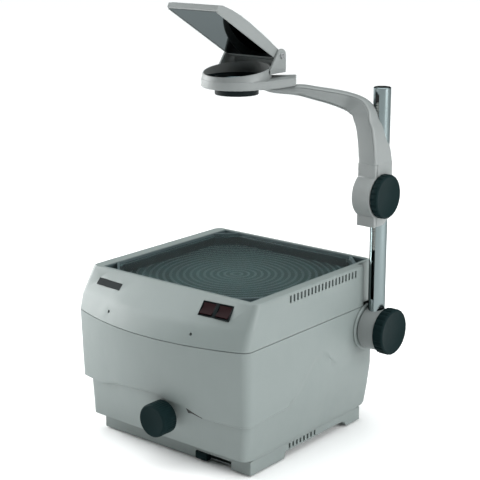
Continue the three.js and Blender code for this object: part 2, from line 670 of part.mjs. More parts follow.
// Toothed strip inside the slot. A gap between two teeth lies level with the pinion.
function focusRack() {
  const outline = [[RACK.backY, RACK.bottom], [RACK.backY, RACK.top], [RACK.rootY, RACK.top]];
  const first = Math.ceil((RACK.bottom + 2 - FOCUS.z) / PITCH - 0.5);
  const last = Math.floor((RACK.top - 2 - FOCUS.z) / PITCH - 0.5);
  for (let k = last; k >= first; k--) {
    const middle = FOCUS.z + (k + 0.5) * PITCH;
    outline.push([RACK.rootY, middle + 0.8], [RACK.tipY, middle + 0.4]);
    outline.push([RACK.tipY, middle - 0.4], [RACK.rootY, middle - 0.8]);
  }
  outline.push([RACK.rootY, RACK.bottom]);
  return sideProfile(outline, [-2.2, 2.2]);
}

piece(mast, "focus_rack", focusRack(), rackPlastic);
piece(mast, "rack_stop", block([-2.2, 2.2], [-13.2, -8], [RACK.top + GAP, RACK.top + 11]), rubberBlack);

// ---------------------------------------------------------------- focus carriage and arm
const carriage = new THREE.Group();

// Arm sections: plan direction from the lens out to the post, and a frame that twists into it.
const reach = new THREE.Vector2(POST.x, POST.y).normalize();
const ARM_TWIST = reach.angle();
const ARM_SECTIONS = [
  // x, y and z of the middle, twist as a share of the full one, lean from upright, depth, width
  { x: 178, y: 109, z: 412, twist: 0, lean: 0, depth: 32, width: 48 },
  { x: 178, y: 109, z: 432, twist: 0, lean: 0, depth: 32, width: 48 },
  { x: 176.9, y: 107, z: 450, twist: 0, lean: 3, depth: 31.8, width: 44 },
  { x: 174.8, y: 103.5, z: 467, twist: 0, lean: 5, depth: 31.5, width: 37 },
  { x: 171.8, y: 102, z: 482, twist: 0, lean: 5, depth: 31.5, width: 34 },
  { x: 167, y: 100.5, z: 493, twist: 0, lean: 4, depth: 31, width: 31 },
  { x: 163.3, y: 98.5, z: 503.2, twist: 0.25, lean: 16, depth: 31, width: 28 },
  { x: 158.1, y: 96, z: 509.3, twist: 0.5, lean: 32, depth: 31, width: 27 },
  { x: 150.9, y: 93.5, z: 514.4, twist: 0.8, lean: 46, depth: 29, width: 26 },
  // distance from the lens along the reach, and height, where the arm runs straight to the head
  { s: 164, z: 518.5, twist: 1, lean: 60, depth: 26, width: 26 },
  { s: 144, z: 524, twist: 1, lean: 76, depth: 22, width: 26 },
  { s: 118, z: 529.3, twist: 1, lean: 78, depth: 18.5, width: 26 },
  { s: 92, z: 534, twist: 1, lean: 80, depth: 15, width: 26 },
  { s: 56, z: 533.6, twist: 1, lean: 88, depth: 7, width: 24 },
];

// Corners of a section in [inwards, sideways] shares of half its depth and half its width, going round.
const SECTION_CORNERS = [[1, 0.75], [0.75, 1], [-0.75, 1], [-1, 0.75], [-1, -0.75], [-0.75, -1], [0.75, -1], [1, -0.75]];

function armRing(section, depth, width, shift = 0) {
  const x = section.x ?? section.s * reach.x;
  const y = section.y ?? section.s * reach.y;
  const turn = ARM_TWIST * section.twist;
  const lean = THREE.MathUtils.degToRad(section.lean);
  // inwards: level and towards the lens at the foot of the arm, and down at its end
  const inwards = new THREE.Vector3(-Math.cos(turn) * Math.cos(lean), -Math.sin(turn) * Math.cos(lean), -Math.sin(lean));
  const sideways = new THREE.Vector3(Math.sin(turn), -Math.cos(turn), 0);
  return SECTION_CORNERS.map(([a, b]) =>
    new THREE.Vector3(x, y, section.z)
      .addScaledVector(inwards, (a * depth) / 2)
      .addScaledVector(sideways, (b * width) / 2 + shift),
  );
}

const COVER = 2.6; // thickness of the arm's side cover

function armBeam() {
  return loft(ARM_SECTIONS.map((section) => armRing(section, section.depth, section.width)), false);
}

// The side cover lies on the near side of the arm, above the seam over the focus housing.
function armCoverSpace(extra) {
  return loft(
    ARM_SECTIONS.slice(1, -1).map((section) =>
      armRing(section, section.depth - 4 + extra, COVER + extra, section.width / 2 - COVER / 2),
    ),
    false,
  );
}

const focusAxis = (geometry) => towardsRight(geometry).translate(0, FOCUS.y, FOCUS.z);

// Outline of the column seen from the side: it wraps the post and slopes away above the focus housing.
function columnBlock([yFrom, yTo]) {
  const { left, right, front, rear, bottom, seam } = COLUMN;
  const outline = [
    [front, bottom], [front + 30, bottom], [rear - 4, bottom + 10], [rear, bottom + 18], [rear, seam + 8],
    [108, 494], [102, 494], [front + 3, seam], [front, seam],
  ];
  const disc = focusAxis(rod(FOCUS.discRadius, left, right - 1, 48));
  const whole = join(sideProfile(outline, [left, right]), disc);
  return common(whole, block([left - 5, right + 5], [yFrom, yTo], [bottom - 5, 500]));
}

const COVER_Y = 92; // parting plane between the focus cover and the arm shell

function postBore() {
  return rod(POST.radius + GAP + 0.05, COLUMN.bottom - 1, 520, 40).translate(POST.x, POST.y, 0);
}

const BUSH = { outer: 14.8, inner: POST.radius + 0.2, height: 8 };
const bushLevels = [["lower", COLUMN.bottom + 8], ["upper", COLUMN.seam - 4]];

function armShell() {
  const body = join(columnBlock([COVER_Y + GAP, 150]), armBeam());
  const seats = bushLevels.map(([, z]) =>
    rod(BUSH.outer + GAP, z - GAP, z + BUSH.height + GAP, 32).translate(POST.x, POST.y, 0),
  );
  const pinionSpace = block([170, 187], [COVER_Y - 1, 112], [FOCUS.z - 9, FOCUS.z + 9]);
  const shaftBore = focusAxis(rod(3.35, COLUMN.left + 3, COLUMN.right + 5, 20));
  const rackWay = block([POST.x - 3, POST.x + 3], [106.5, 112], [COLUMN.bottom - 1, 520]);
  const coverCorner = block([COLUMN.left - 1, COLUMN.right + 1], [60, COVER_Y + GAP], [400, COLUMN.seam + GAP]);
  const spaces = [postBore(), ...seats, pinionSpace, shaftBore, rackWay, coverCorner, armCoverSpace(2 * GAP)];
  return largest(cut(body, ...spaces));
}

piece(carriage, "arm_shell", armShell(), armGrey);
const coverScrewHoles = () => [170, 180].map((x) => towardsFront(rod(2, -90, -80, 12)).translate(x, 0, COLUMN.bottom + 11));
const frontCover = columnBlock([60, COVER_Y]);
const aboveSeam = block([100, 250], [60, 100], [COLUMN.seam - GAP, 520]);
piece(carriage, "focus_cover", cut(frontCover, aboveSeam, ...coverScrewHoles()), armGrey);
piece(carriage, "arm_cover", common(armCoverSpace(0), block([0, 250], [-50, 200], [COLUMN.seam + 3, 600])), armGrey);

for (const [side, x] of [["left", 170], ["right", 180]]) {
  const screw = towardsFront(rod(1.7, -89.5, -COLUMN.front - 0.4, 12));
  piece(carriage, `cover_screw_${side}`, screw, steel).position.set(x, 0, COLUMN.bottom + 11);
}

for (const [end, z] of bushLevels) {
  const bush = cut(
    ring(BUSH.outer, BUSH.inner, 0, BUSH.height, 32),
    block([-3.2, 3.2], [-20, -8], [-1, BUSH.height + 1]),
  );
  piece(carriage, `slide_bush_${end}`, bush, ceramic).position.set(POST.x, POST.y, z);
}

// Pinion on its shaft: tooth tips reach through the slot into the rack.
function pinionShaft() {
  const points = [];
  for (let i = 0; i < PINION.teeth; i++) {
    const at = (i * 2 * Math.PI) / PINION.teeth + Math.PI / 2;
    for (const [radius, offset] of [[PINION.rootRadius, -0.8], [PINION.tipRadius, -0.35], [PINION.tipRadius, 0.35],
      [PINION.rootRadius, 0.8]]) {
      const angle = at + offset / radius;
      points.push([radius * Math.cos(angle), radius * Math.sin(angle)]);
    }
  }
  const gear = sideProfile(points, [POST.x - 2, POST.x + 2]).translate(0, FOCUS.y, FOCUS.z);
  return join(gear, focusAxis(rod(3, COLUMN.left + 3.5, COLUMN.right + 9.3, 16)));
}

piece(carriage, "pinion_shaft", pinionShaft(), steel);
const focusKnob = cut(flutedKnob(FOCUS.knobRadius, FOCUS.knobThickness, 12), rod(3.3, -1, 9.6, 16));
piece(carriage, "focus_knob", focusAxis(focusKnob.translate(0, 0, COLUMN.right + 0.4)), knobBlack);

// ---------------------------------------------------------------- projection head
const head = new THREE.Group();

const RIM_SLOPE = Math.atan2(14, 104); // the head's rim rises towards the hinge
const rimHeight = (y) => 564 + y * Math.tan(RIM_SLOPE);

function headHousing() {
  const { radius, bottom } = HEAD;
  const cup = turned(
    [[HEAD.barrelRadius + GAP, bottom], [radius - 2, bottom], [radius, bottom + 2], [radius, 590], [radius - 3.5, 590],
      [radius - 3.5, bottom + 3], [HEAD.barrelRadius + GAP, bottom + 3], [HEAD.barrelRadius + GAP, bottom]], 48);
  const above = block([-80, 80], [-90, 90], [0, 60]).rotateX(RIM_SLOPE).translate(0, 0, rimHeight(0));
  const bowl = cut(cup, above);
  // tail over the end of the arm: its flanks leave the bowl at a tangent
  const flanks = [[20, -49], [HEAD.tailEnd, -21], [HEAD.tailEnd, 21], [20, 49]];
  const tailBottom = [[18, bottom + 0.4], [radius - 6, bottom + 0.4], [HEAD.tailEnd + 1, bottom + 9]];
  const tailTop = [[HEAD.tailEnd - 2, bottom + 16], [radius - 6, bottom + 13], [18, bottom + 13]];
  const tailSide = sideProfile([...tailBottom, ...tailTop], [-60, 60]).rotateZ(-Math.PI / 2);
  const tailBlock = common(plate(flanks, [bottom, bottom + 30]), tailSide).rotateZ(reach.angle());
  const tail = cut(tailBlock, rod(radius - 2, bottom - 1, 600, 48));
  const ear = (x0, x1) => {
    const outline = [[16, 563], [MIRROR.y + 10.5, 563], ...arc(MIRROR.y, MIRROR.z, 10.5, 0, 140, 8)];
    const bore = towardsRight(rod(2.6, x0 - 1, x1 + 1, 16)).translate(0, MIRROR.y, MIRROR.z);
    return cut(sideProfile(outline, [x0, x1]), bore);
  };
  const outerEar = MIRROR.halfWidth + 4.2;
  const ledge = common(
    block([-outerEar, outerEar], [14, MIRROR.y + 10.5], [558, 564.5]),
    join(cut(rod(80, 550, 570), rod(radius - 4, 549, 571, 48)), rod(1, 400, 401)),
  );
  const ears = [ear(-outerEar, -MIRROR.halfWidth - 0.6), ear(MIRROR.halfWidth + 0.6, outerEar)];
  const rests = [-20, 20].map((x) => rod(3.4, 562, 569, 16).translate(x, MIRROR.y + 6, 0));
  const backWall = block([-outerEar, outerEar], [MIRROR.y + 8.3, MIRROR.y + 10.5], [562, 576]);
  return join(bowl, tail, ...ears, ledge, backWall, ...rests);
}

piece(head, "head_housing", headHousing(), armGrey);

const liner = [[48.9, 541.5], [48.9, 552], [47.5, 552], [37, 546.5], [37, 541.5], [48.9, 541.5]];
piece(head, "head_liner", turned(liner, 32), trimBlack);

const { barrelRadius, barrelBottom } = HEAD;
const barrel = [[30, barrelBottom], [barrelRadius, barrelBottom], [barrelRadius, 541.4], [36.2, 541.4], [36.2, 545],
  [barrelRadius, 545], [barrelRadius, 553], [30, 553], [30, barrelBottom]];
piece(head, "lens_barrel", turned(barrel, 32), trimBlack);

// A double convex lens about its own middle.
function lens(radius, edge, bulge) {
  const profile = [[0, -edge / 2 - bulge]];
  const steps = 3;
  for (let i = 1; i <= steps; i++) profile.push([(radius * i) / steps, -edge / 2 - bulge * (1 - (i / steps) ** 2)]);
  for (let i = steps; i >= 0; i--) profile.push([(radius * i) / steps, edge / 2 + bulge * (1 - (i / steps) ** 2)]);
  return turned(profile, 28);
}

piece(head, "objective_lens_lower", lens(29.7, 3, 3), clearGlass).position.z = 533.5;
piece(head, "objective_lens_upper", lens(29.7, 3, 4), clearGlass).position.z = 546.5;

for (const [side, way] of [["left", -1], ["right", 1]]) {
  const pinProfile = [[0, 36], [2.2, 36], [2.2, 51.2], [4.6, 51.2], [4.2, 53], [0, 53]];
  const pin = turned(pinProfile, 20).rotateY((way * Math.PI) / 2);
  piece(head, `mirror_pin_${side}`, pin, steel).position.set(0, MIRROR.y, MIRROR.z);
}

// Mirror lid, drawn about its hinge with its tip towards the front, then raised to its rest angle.
const flap = new THREE.Group();
flap.position.set(0, MIRROR.y, MIRROR.z);
flap.rotation.x = -THREE.MathUtils.degToRad(MIRROR.tilt);
head.add(flap);

function mirrorLid() {
  const { halfWidth, length } = MIRROR;
  const outline = [
    [5, -6], [-6, -8], [-length + 4, -8], [-length, -5.5], [-length, 1], [-length + 9, 5.8], [-length + 30, 9.4],
    [-length + 50, 11.2], [-88, 11.6], [-45, 9.8], [-10, 7], [3, 5.6], [6.5, 2], [6.5, -3],
  ];
  const pocket = block([-halfWidth + 2.2, halfWidth - 2.2], [-length + 2.5, -9], [-9, -4]);
  const hollow = block([-halfWidth + 2.2, halfWidth - 2.2], [-length + 14, -16], [-5, 3.5]);
  const bores = towardsRight(rod(2.6, -halfWidth - 1, halfWidth + 1, 16));
  return cut(sideProfile(outline, [-halfWidth, halfWidth]), pocket, hollow, bores);
}

piece(flap, "mirror_lid", mirrorLid(), armGrey);
const glassHalf = MIRROR.halfWidth - 2.2 - GAP;
piece(flap, "mirror_glass", block([-glassHalf, glassHalf], [-MIRROR.length + 2.8, -9.3], [-7.4, -4.3]), mirrorSilver);

// ---------------------------------------------------------------- whole object
const body = new THREE.Group();
body.add(base, lid, mast, carriage, head);
const extent = new THREE.Box3().setFromObject(body, true);
body.position.set(-(extent.min.x + extent.max.x) / 2, -(extent.min.y + extent.max.y) / 2, -extent.min.z);

const projector = new THREE.Group();
projector.add(body);

export default projector;
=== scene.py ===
"""Looks for the overhead projector: smooth moulded casings, knobs, post, arm and head around the CAD frame.

Lengths are millimetres in the projector's own axes, with the origin under the middle of the stage; `world`
turns them into metres in the shared frame. Places come from the CAD boxes and the record's joints where these
give them, and from the named values otherwise. Lights and the floor are placed in metres.
"""

import json
import math

import bmesh
import bpy
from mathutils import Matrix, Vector

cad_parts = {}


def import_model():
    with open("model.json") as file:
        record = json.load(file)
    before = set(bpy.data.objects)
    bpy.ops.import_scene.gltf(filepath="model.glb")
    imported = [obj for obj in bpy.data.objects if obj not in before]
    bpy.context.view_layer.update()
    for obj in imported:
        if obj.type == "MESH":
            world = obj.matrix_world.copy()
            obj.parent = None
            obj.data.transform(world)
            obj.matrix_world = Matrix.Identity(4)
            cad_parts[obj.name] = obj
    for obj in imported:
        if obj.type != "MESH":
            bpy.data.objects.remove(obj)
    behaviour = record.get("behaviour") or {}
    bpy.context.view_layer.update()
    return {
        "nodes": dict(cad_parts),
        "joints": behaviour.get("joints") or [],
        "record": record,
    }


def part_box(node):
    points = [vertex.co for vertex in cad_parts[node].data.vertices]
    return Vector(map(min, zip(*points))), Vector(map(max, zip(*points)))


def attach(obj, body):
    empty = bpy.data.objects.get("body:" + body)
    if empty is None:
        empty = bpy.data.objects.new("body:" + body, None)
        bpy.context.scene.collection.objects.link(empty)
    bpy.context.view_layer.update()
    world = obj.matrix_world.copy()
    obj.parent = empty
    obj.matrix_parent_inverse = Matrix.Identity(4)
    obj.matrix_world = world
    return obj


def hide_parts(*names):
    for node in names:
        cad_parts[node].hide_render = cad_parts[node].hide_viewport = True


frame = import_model()
nodes = frame["nodes"]
joints = {joint["name"]: joint for joint in frame["joints"]}

MM = 0.001
UP, RIGHT, FRONT = Vector((0, 0, 1)), Vector((1, 0, 0)), Vector((0, -1, 0))

glass_low, glass_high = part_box("stage_glass")
origin = Vector(((glass_low.x + glass_high.x) / 2, (glass_low.y + glass_high.y) / 2, 0))


def world(point):
    return origin + Vector(point) * MM


def local(point):
    return (Vector(point) - origin) / MM


def extent(node):
    """Lowest and highest corner of a CAD node in the projector's axes."""
    low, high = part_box(node)
    return local(low), local(high)


def centre_of(node):
    """Middle of a CAD node's box in the projector's axes."""
    low, high = extent(node)
    return (low + high) / 2


def pivot(joint):
    return local(joints[joint]["pos_m"])


# ---------------------------------------------------------------- materials
def shader(name, **values):
    """A new material with its Principled sockets set, and its nodes, links and Principled shader."""
    material = bpy.data.materials.new(name)
    material.use_nodes = True
    tree = material.node_tree
    principled = tree.nodes["Principled BSDF"]
    for socket, value in values.items():
        principled.inputs[socket.replace("_", " ")].default_value = value
    return material, tree.nodes, tree.links, principled


def noise(tree_nodes, links, scale, detail=3.0, roughness=0.5, stretch=(1, 1, 1)):
    """A noise pattern in object space, in cycles per metre."""
    place = tree_nodes.new("ShaderNodeTexCoord")
    mapping = tree_nodes.new("ShaderNodeMapping")
    mapping.inputs["Scale"].default_value = stretch
    pattern = tree_nodes.new("ShaderNodeTexNoise")
    pattern.inputs["Scale"].default_value = scale
    pattern.inputs["Detail"].default_value = detail
    pattern.inputs["Roughness"].default_value = roughness
    links.new(place.outputs["Object"], mapping.inputs["Vector"])
    links.new(mapping.outputs["Vector"], pattern.inputs["Vector"])
    return pattern.outputs["Fac"]


def ramp(tree_nodes, links, source, low, high):
    """Turns a 0 to 1 pattern into the range low to high."""
    spread = tree_nodes.new("ShaderNodeMapRange")
    spread.inputs["From Min"].default_value = 0.3
    spread.inputs["From Max"].default_value = 0.7
    spread.inputs["To Min"].default_value = low
    spread.inputs["To Max"].default_value = high
    links.new(source, spread.inputs["Value"])
    return spread.outputs["Result"]


def blend_colours(tree_nodes, links, source, first, second):
    mix = tree_nodes.new("ShaderNodeMix")
    mix.data_type = "RGBA"
    mix.inputs["A"].default_value = (*first, 1)
    mix.inputs["B"].default_value = (*second, 1)
    links.new(source, mix.inputs["Factor"])
    return mix.outputs["Result"]


def bump(tree_nodes, links, height, distance, strength=1.0):
    node = tree_nodes.new("ShaderNodeBump")
    node.inputs["Distance"].default_value = distance * MM
    node.inputs["Strength"].default_value = strength
    links.new(height, node.inputs["Height"])
    return node.outputs["Normal"]


def moulded(name, colour, roughness, grain=900.0, relief=0.05, mottle=0.06, gloss=0.5):
    """Moulded plastic: a fine spark-eroded grain, slow changes of colour and smears in the gloss."""
    material, made, links, principled = shader(name, Specular_IOR_Level=gloss)
    cloudy = noise(made, links, 14.0, detail=5.0, roughness=0.6)
    paler = tuple(min(1.0, c * (1 + mottle)) for c in colour)
    darker = tuple(c * (1 - mottle) for c in colour)
    links.new(blend_colours(made, links, cloudy, darker, paler), principled.inputs["Base Color"])
    smear = noise(made, links, 30.0, detail=6.0, roughness=0.7, stretch=(1, 1, 0.4))
    links.new(ramp(made, links, smear, roughness - 0.06, roughness + 0.06), principled.inputs["Roughness"])
    fine = noise(made, links, grain, detail=2.0)
    links.new(bump(made, links, fine, relief, 0.35), principled.inputs["Normal"])
    return material


def metal(name, colour, roughness, stretch=(1, 1, 1), relief=0.004, edge=1.0):
    """Metal with faint drawing lines along the stretched direction. `edge` is its tint at grazing angles."""
    material, made, links, principled = shader(name, Metallic=1.0, Specular_Tint=(edge, edge, edge, 1))
    lines = noise(made, links, 700.0, detail=4.0, stretch=stretch)
    spread = max(0.015, roughness * 0.25)
    brushed = ramp(made, links, lines, roughness - spread / 2, roughness + spread)
    links.new(brushed, principled.inputs["Roughness"])
    darker = tuple(c * 0.93 for c in colour)
    links.new(blend_colours(made, links, lines, darker, colour), principled.inputs["Base Color"])
    links.new(bump(made, links, lines, relief, 0.3), principled.inputs["Normal"])
    return material


def glassy(name, colour, roughness=0.02, ior=1.5):
    material, made, links, principled = shader(name, Transmission_Weight=1.0, IOR=ior)
    principled.inputs["Base Color"].default_value = (*colour, 1)
    dust = noise(made, links, 60.0, detail=6.0, roughness=0.7)
    links.new(ramp(made, links, dust, roughness, roughness + 0.03), principled.inputs["Roughness"])
    return material


# painted highlight on the Fresnel sheet: its colour is pale in the middle and darkens outwards over this
# distance
PAINTED_HIGHLIGHT_REACH = 135  # distance from the middle over which the sheet darkens
RING_SCALE = 30.0  # of the wave pattern that stands for the grooves
# colour of the sheet at its edge, and of the painted highlight in its middle
SHEET_DARK, SHEET_PAINTED_HIGHLIGHT = (0.085, 0.13, 0.135), (0.30, 0.38, 0.385)


def fresnel_sheet():
    """Grooved acrylic: rings about the middle of the stage, rippling the surface and scattering the gloss,
    with a painted highlight in its colour that is pale in the middle, darkens outwards and is banded by the
    rings.
    """
    material, made, links, principled = shader("fresnel_acrylic", IOR=1.49, Transmission_Weight=0.2)
    place = made.new("ShaderNodeTexCoord")
    centre = made.new("ShaderNodeMapping")
    centre.inputs["Location"].default_value = (-origin.x, -origin.y, 0)
    centre.inputs["Scale"].default_value = (1, 1, 0)
    rings = made.new("ShaderNodeTexWave")
    rings.wave_type = "RINGS"
    rings.rings_direction = "SPHERICAL"
    rings.wave_profile = "SAW"
    rings.inputs["Scale"].default_value = RING_SCALE
    links.new(place.outputs["Object"], centre.inputs["Vector"])
    links.new(centre.outputs["Vector"], rings.inputs["Vector"])
    links.new(bump(made, links, rings.outputs["Fac"], 0.3, 0.3), principled.inputs["Normal"])
    # painted highlight: the base colour is paler towards the middle of the stage and banded by the rings
    distance = made.new("ShaderNodeVectorMath")
    distance.operation = "LENGTH"
    links.new(centre.outputs["Vector"], distance.inputs[0])
    painted_highlight = made.new("ShaderNodeMapRange")
    painted_highlight.inputs["From Max"].default_value = PAINTED_HIGHLIGHT_REACH * MM
    painted_highlight.inputs["To Min"].default_value = 1.0
    painted_highlight.inputs["To Max"].default_value = 0.25
    links.new(distance.outputs["Value"], painted_highlight.inputs["Value"])
    painted_highlight_banded = made.new("ShaderNodeMath")
    painted_highlight_banded.operation = "MULTIPLY"
    links.new(painted_highlight.outputs["Result"], painted_highlight_banded.inputs[0])
    links.new(ramp(made, links, rings.outputs["Fac"], 0.7, 1.0), painted_highlight_banded.inputs[1])
    colour = blend_colours(made, links, painted_highlight_banded.outputs["Value"], SHEET_DARK, SHEET_PAINTED_HIGHLIGHT)
    links.new(colour, principled.inputs["Base Color"])
    links.new(ramp(made, links, rings.outputs["Fac"], 0.16, 0.30), principled.inputs["Roughness"])
    return material


casing = moulded("casing_plastic", (0.195, 0.228, 0.222), 0.50)
arm_casing = moulded("arm_plastic", (0.215, 0.232, 0.230), 0.46, grain=1100.0, relief=0.03)
lining = moulded("lining_plastic", (0.060, 0.088, 0.093), 0.42, relief=0.03)
knob_black = moulded("knob_plastic", (0.006, 0.015, 0.016), 0.50, grain=1300.0, relief=0.03, mottle=0.25,
                     gloss=0.03)
trim_black = moulded("trim_plastic", (0.007, 0.011, 0.012), 0.40, relief=0.02, mottle=0.25, gloss=0.05)
rubber = moulded("foot_rubber", (0.013, 0.013, 0.013), 0.85, grain=500.0, relief=0.1, mottle=0.3)
rocker_red = moulded("rocker_plastic", (0.014, 0.004, 0.005), 0.32, relief=0.01, mottle=0.3, gloss=0.08)
acetal = moulded("rack_acetal", (0.42, 0.45, 0.43), 0.45, relief=0.03)
ceramic = moulded("ceramic_body", (0.70, 0.68, 0.62), 0.55, relief=0.05)
windings = moulded("copper_winding", (0.20, 0.085, 0.04), 0.4, grain=350.0, relief=0.3, mottle=0.4)
chrome = metal("chrome_tube", (0.20, 0.24, 0.245), 0.18, stretch=(1, 1, 0.02), relief=0.002, edge=0.35)
steel = metal("zinc_steel", (0.42, 0.43, 0.44), 0.36, stretch=(0.1, 1, 1))
aluminium = metal("plain_aluminium", (0.55, 0.56, 0.57), 0.42, stretch=(0.05, 1, 1))
mirror_silver = metal("mirror_silver", (0.21, 0.235, 0.24), 0.03, relief=0.0002, edge=0.3)
clear_glass = glassy("clear_glass", (0.80, 0.90, 0.89))
lens_glass = glassy("coated_lens_glass", (0.62, 0.74, 0.78), roughness=0.01, ior=1.6)
fresnel = fresnel_sheet()
print_black = moulded("printed_mark", (0.006, 0.007, 0.007), 0.5, relief=0.01, mottle=0.1)

SLOT_MATERIALS = {
    "casing": casing, "arm_casing": arm_casing, "stage_lining": lining, "knob": knob_black,
    "foot_rubber": rubber, "trim": trim_black, "rocker_red": rocker_red, "chrome": chrome, "steel": steel,
    "aluminium": aluminium, "clear_glass": clear_glass, "fresnel": fresnel, "rack_plastic": acetal,
    "copper_windings": windings, "ceramic": ceramic, "mirror": mirror_silver,
}


# ---------------------------------------------------------------- mesh helpers
EDGE_ANGLE = 35  # faces that meet at less than this, in degrees, are shaded as one
MERGE = 0.001  # points closer together than this are one point


def smooth(mesh, angle):
    for face in mesh.polygons:
        face.use_smooth = True
    mesh.set_sharp_from_angle(angle=math.radians(angle))


def soften(piece, width, angle=EDGE_ANGLE, segments=2):
    """Rounds the sharp edges of a piece."""
    edges = piece.modifiers.new("rounded_edges", "BEVEL")
    edges.width = width * MM
    edges.segments = segments
    edges.limit_method = "ANGLE"
    edges.angle_limit = math.radians(angle)
    edges.use_clamp_overlap = True


def solid_mesh(name, shape, merge=False):
    """A mesh from (points, faces) in the projector's axes, with its faces turned outwards."""
    points, faces = shape
    mesh = bpy.data.meshes.new(name)
    mesh.from_pydata([world(p) for p in points], [], faces)
    shell = bmesh.new()
    shell.from_mesh(mesh)
    if merge:
        bmesh.ops.remove_doubles(shell, verts=shell.verts, dist=MERGE * MM)
    bmesh.ops.recalc_face_normals(shell, faces=shell.faces)
    shell.to_mesh(mesh)
    shell.free()
    return mesh


def placed(name, data):
    """A new object in the scene that shows a mesh, a light or a camera."""
    thing = bpy.data.objects.new(name, data)
    bpy.context.scene.collection.objects.link(thing)
    return thing


def add(name, shape, material, body, replaces=(), rounding=0.0, angle=EDGE_ANGLE):
    """A piece from (points, faces) in the projector's axes, in place of the CAD nodes that it replaces."""
    mesh = solid_mesh(name, shape, merge=True)
    smooth(mesh, angle)
    mesh.materials.append(material)
    piece = placed(name, mesh)
    if rounding:
        soften(piece, rounding, angle)
    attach(piece, body)
    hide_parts(*replaces)
    return piece


def together(*shapes):
    points, faces = [], []
    for more_points, more_faces in shapes:
        first = len(points)
        points.extend(more_points)
        faces.extend([[first + i for i in face] for face in more_faces])
    return points, faces


def skin(rings, closed=False, capped=True):
    """Faces over rings that all have the same number of points."""
    count = len(rings[0])
    points = [p for one in rings for p in one]
    faces = []
    for i in range(len(rings) if closed else len(rings) - 1):
        for j in range(count):
            here, there = i * count, ((i + 1) % len(rings)) * count
            faces.append([here + j, here + (j + 1) % count, there + (j + 1) % count, there + j])
    if capped and not closed:
        faces.append(list(range(count)))
        faces.append([(len(rings) - 1) * count + j for j in range(count)])
    return points, faces


def lathe(profile, centre, along, count=96, warp=None, closed=False):
    """A turned shape from (radius, distance) pairs. `warp` may change the radius at an angle and a row."""
    across = UP.cross(along) if abs(along.z) < 0.5 else RIGHT
    second = along.cross(across)
    rings = []
    for row, (radius, distance) in enumerate(profile):
        ring = []
        for j in range(count):
            angle = 2 * math.pi * j / count
            out = warp(angle, row, radius) if warp else radius
            spoke = across * math.cos(angle) + second * math.sin(angle)
            ring.append(Vector(centre) + spoke * out + along * distance)
        rings.append(ring)
    return skin(rings, closed)


def cylinder(radius, bottom, top, centre=(0, 0, 0), count=96):
    """A plain upright cylinder."""
    return lathe([(0, bottom), (radius, bottom), (radius, top), (0, top)], centre, UP, count)


def extruded(outline, frame_of, near, far):
    """A flat outline of pairs given thickness: frame_of(pair, depth) says where a point is."""
    rings = [[frame_of(pair, depth) for pair in outline] for depth in (near, far)]
    return skin(rings)


def from_side(pair, x):
    return Vector((x, pair[0], pair[1]))


def box(low, high):
    outline = [(low[1], low[2]), (high[1], low[2]), (high[1], high[2]), (low[1], high[2])]
    return extruded(outline, from_side, low[0], high[0])


def arc(centre, radius, first, last, steps):
    points = []
    for i in range(steps + 1):
        angle = math.radians(first + (last - first) * i / steps)
        points.append((centre[0] + radius * math.cos(angle), centre[1] + radius * math.sin(angle)))
    return points


def rounded_rectangle(half_a, half_b, radius):
    """Pairs round a rectangle about the origin."""
    pairs = []
    for sign_a, sign_b, start in ((1, 1, 0), (-1, 1, 90), (-1, -1, 180), (1, -1, 270)):
        corner = (sign_a * (half_a - radius), sign_b * (half_b - radius))
        pairs += arc(corner, radius, start, start + 90, 4)
    return pairs


def carve(piece, name, shape):
    """Cuts a shape out of a piece and keeps the result in its mesh."""
    cutter = placed(name, solid_mesh(name, shape))
    boolean = piece.modifiers.new(name, "BOOLEAN")
    boolean.operation = "DIFFERENCE"
    boolean.solver = "EXACT"
    boolean.object = cutter
    bpy.context.view_layer.update()
    evaluated = piece.evaluated_get(bpy.context.evaluated_depsgraph_get())
    result = bpy.data.meshes.new_from_object(evaluated)
    piece.modifiers.clear()
    piece.data = result
    bpy.data.objects.remove(cutter)
    smooth(result, EDGE_ANGLE)


def between(knots, x):
    """A smooth line through a few (x, value) knots."""
    if x <= knots[0][0]:
        return knots[0][1]
    for (x0, v0), (x1, v1) in zip(knots, knots[1:]):
        if x <= x1:
            t = (x - x0) / (x1 - x0)
            return v0 + (v1 - v0) * t * t * (3 - 2 * t)
    return knots[-1][1]


# ---------------------------------------------------------------- lower casing
lid_hinge = pivot("lid_open")
seam = lid_hinge.z
SEAM_GAP = 0.5
CASING = {"left": -170.0, "right": 161.5, "front": -172.5, "rear": 146.0, "corner": 10.0, "rear_corner": 14.0}
LEFT_FLARE = 4.0  # how far the left wall leans out between the waist and the seam
FOOT_Z, WAIST_Z = 31.0, 92.0
FULL_BOW = 35.0
BOW_LOSS, BOW_HEIGHT = 0.9, 163.0  # share of the bow that is lost this far below the seam
STEP = 2.6  # height over which the overhang of the upper wall comes out
WALL = 2.6
# The wall under the wave: its sides at the foot, the height of its top, and how far each leans out there.
UNDER = {"left": -155.0, "right": 150.0, "front": -167.0, "top": 86.0}
LEAN = {"left": 2.0, "right": 8.0, "front": 1.2}
UNDER_INSET = 1.5  # least distance of its right side inside the upper wall


def casing_sides(z, upper):
    """Left, right, front, rear and bow at a height, of the upper wall or of the wall under the wave."""
    bow = FULL_BOW * (1 - BOW_LOSS * ((seam - z) / BOW_HEIGHT) ** 2)
    if upper:
        left = CASING["left"] - LEFT_FLARE * (z - WAIST_Z) / (seam - WAIST_Z)
        return left, CASING["right"], CASING["front"], CASING["rear"], bow
    rise = (z - FOOT_Z) / (UNDER["top"] - FOOT_Z)
    left = UNDER["left"] - LEAN["left"] * rise
    right = min(UNDER["right"] + LEAN["right"] * rise, CASING["right"] - UNDER_INSET)
    front = UNDER["front"] - LEAN["front"] * rise
    return left, right, front, CASING["rear"], bow


def bow_at(x, left, right, bow):
    """How far the bowed front stands out at x."""
    return bow * (1 - ((x - (left + right) / 2) / ((right - left) / 2)) ** 2)


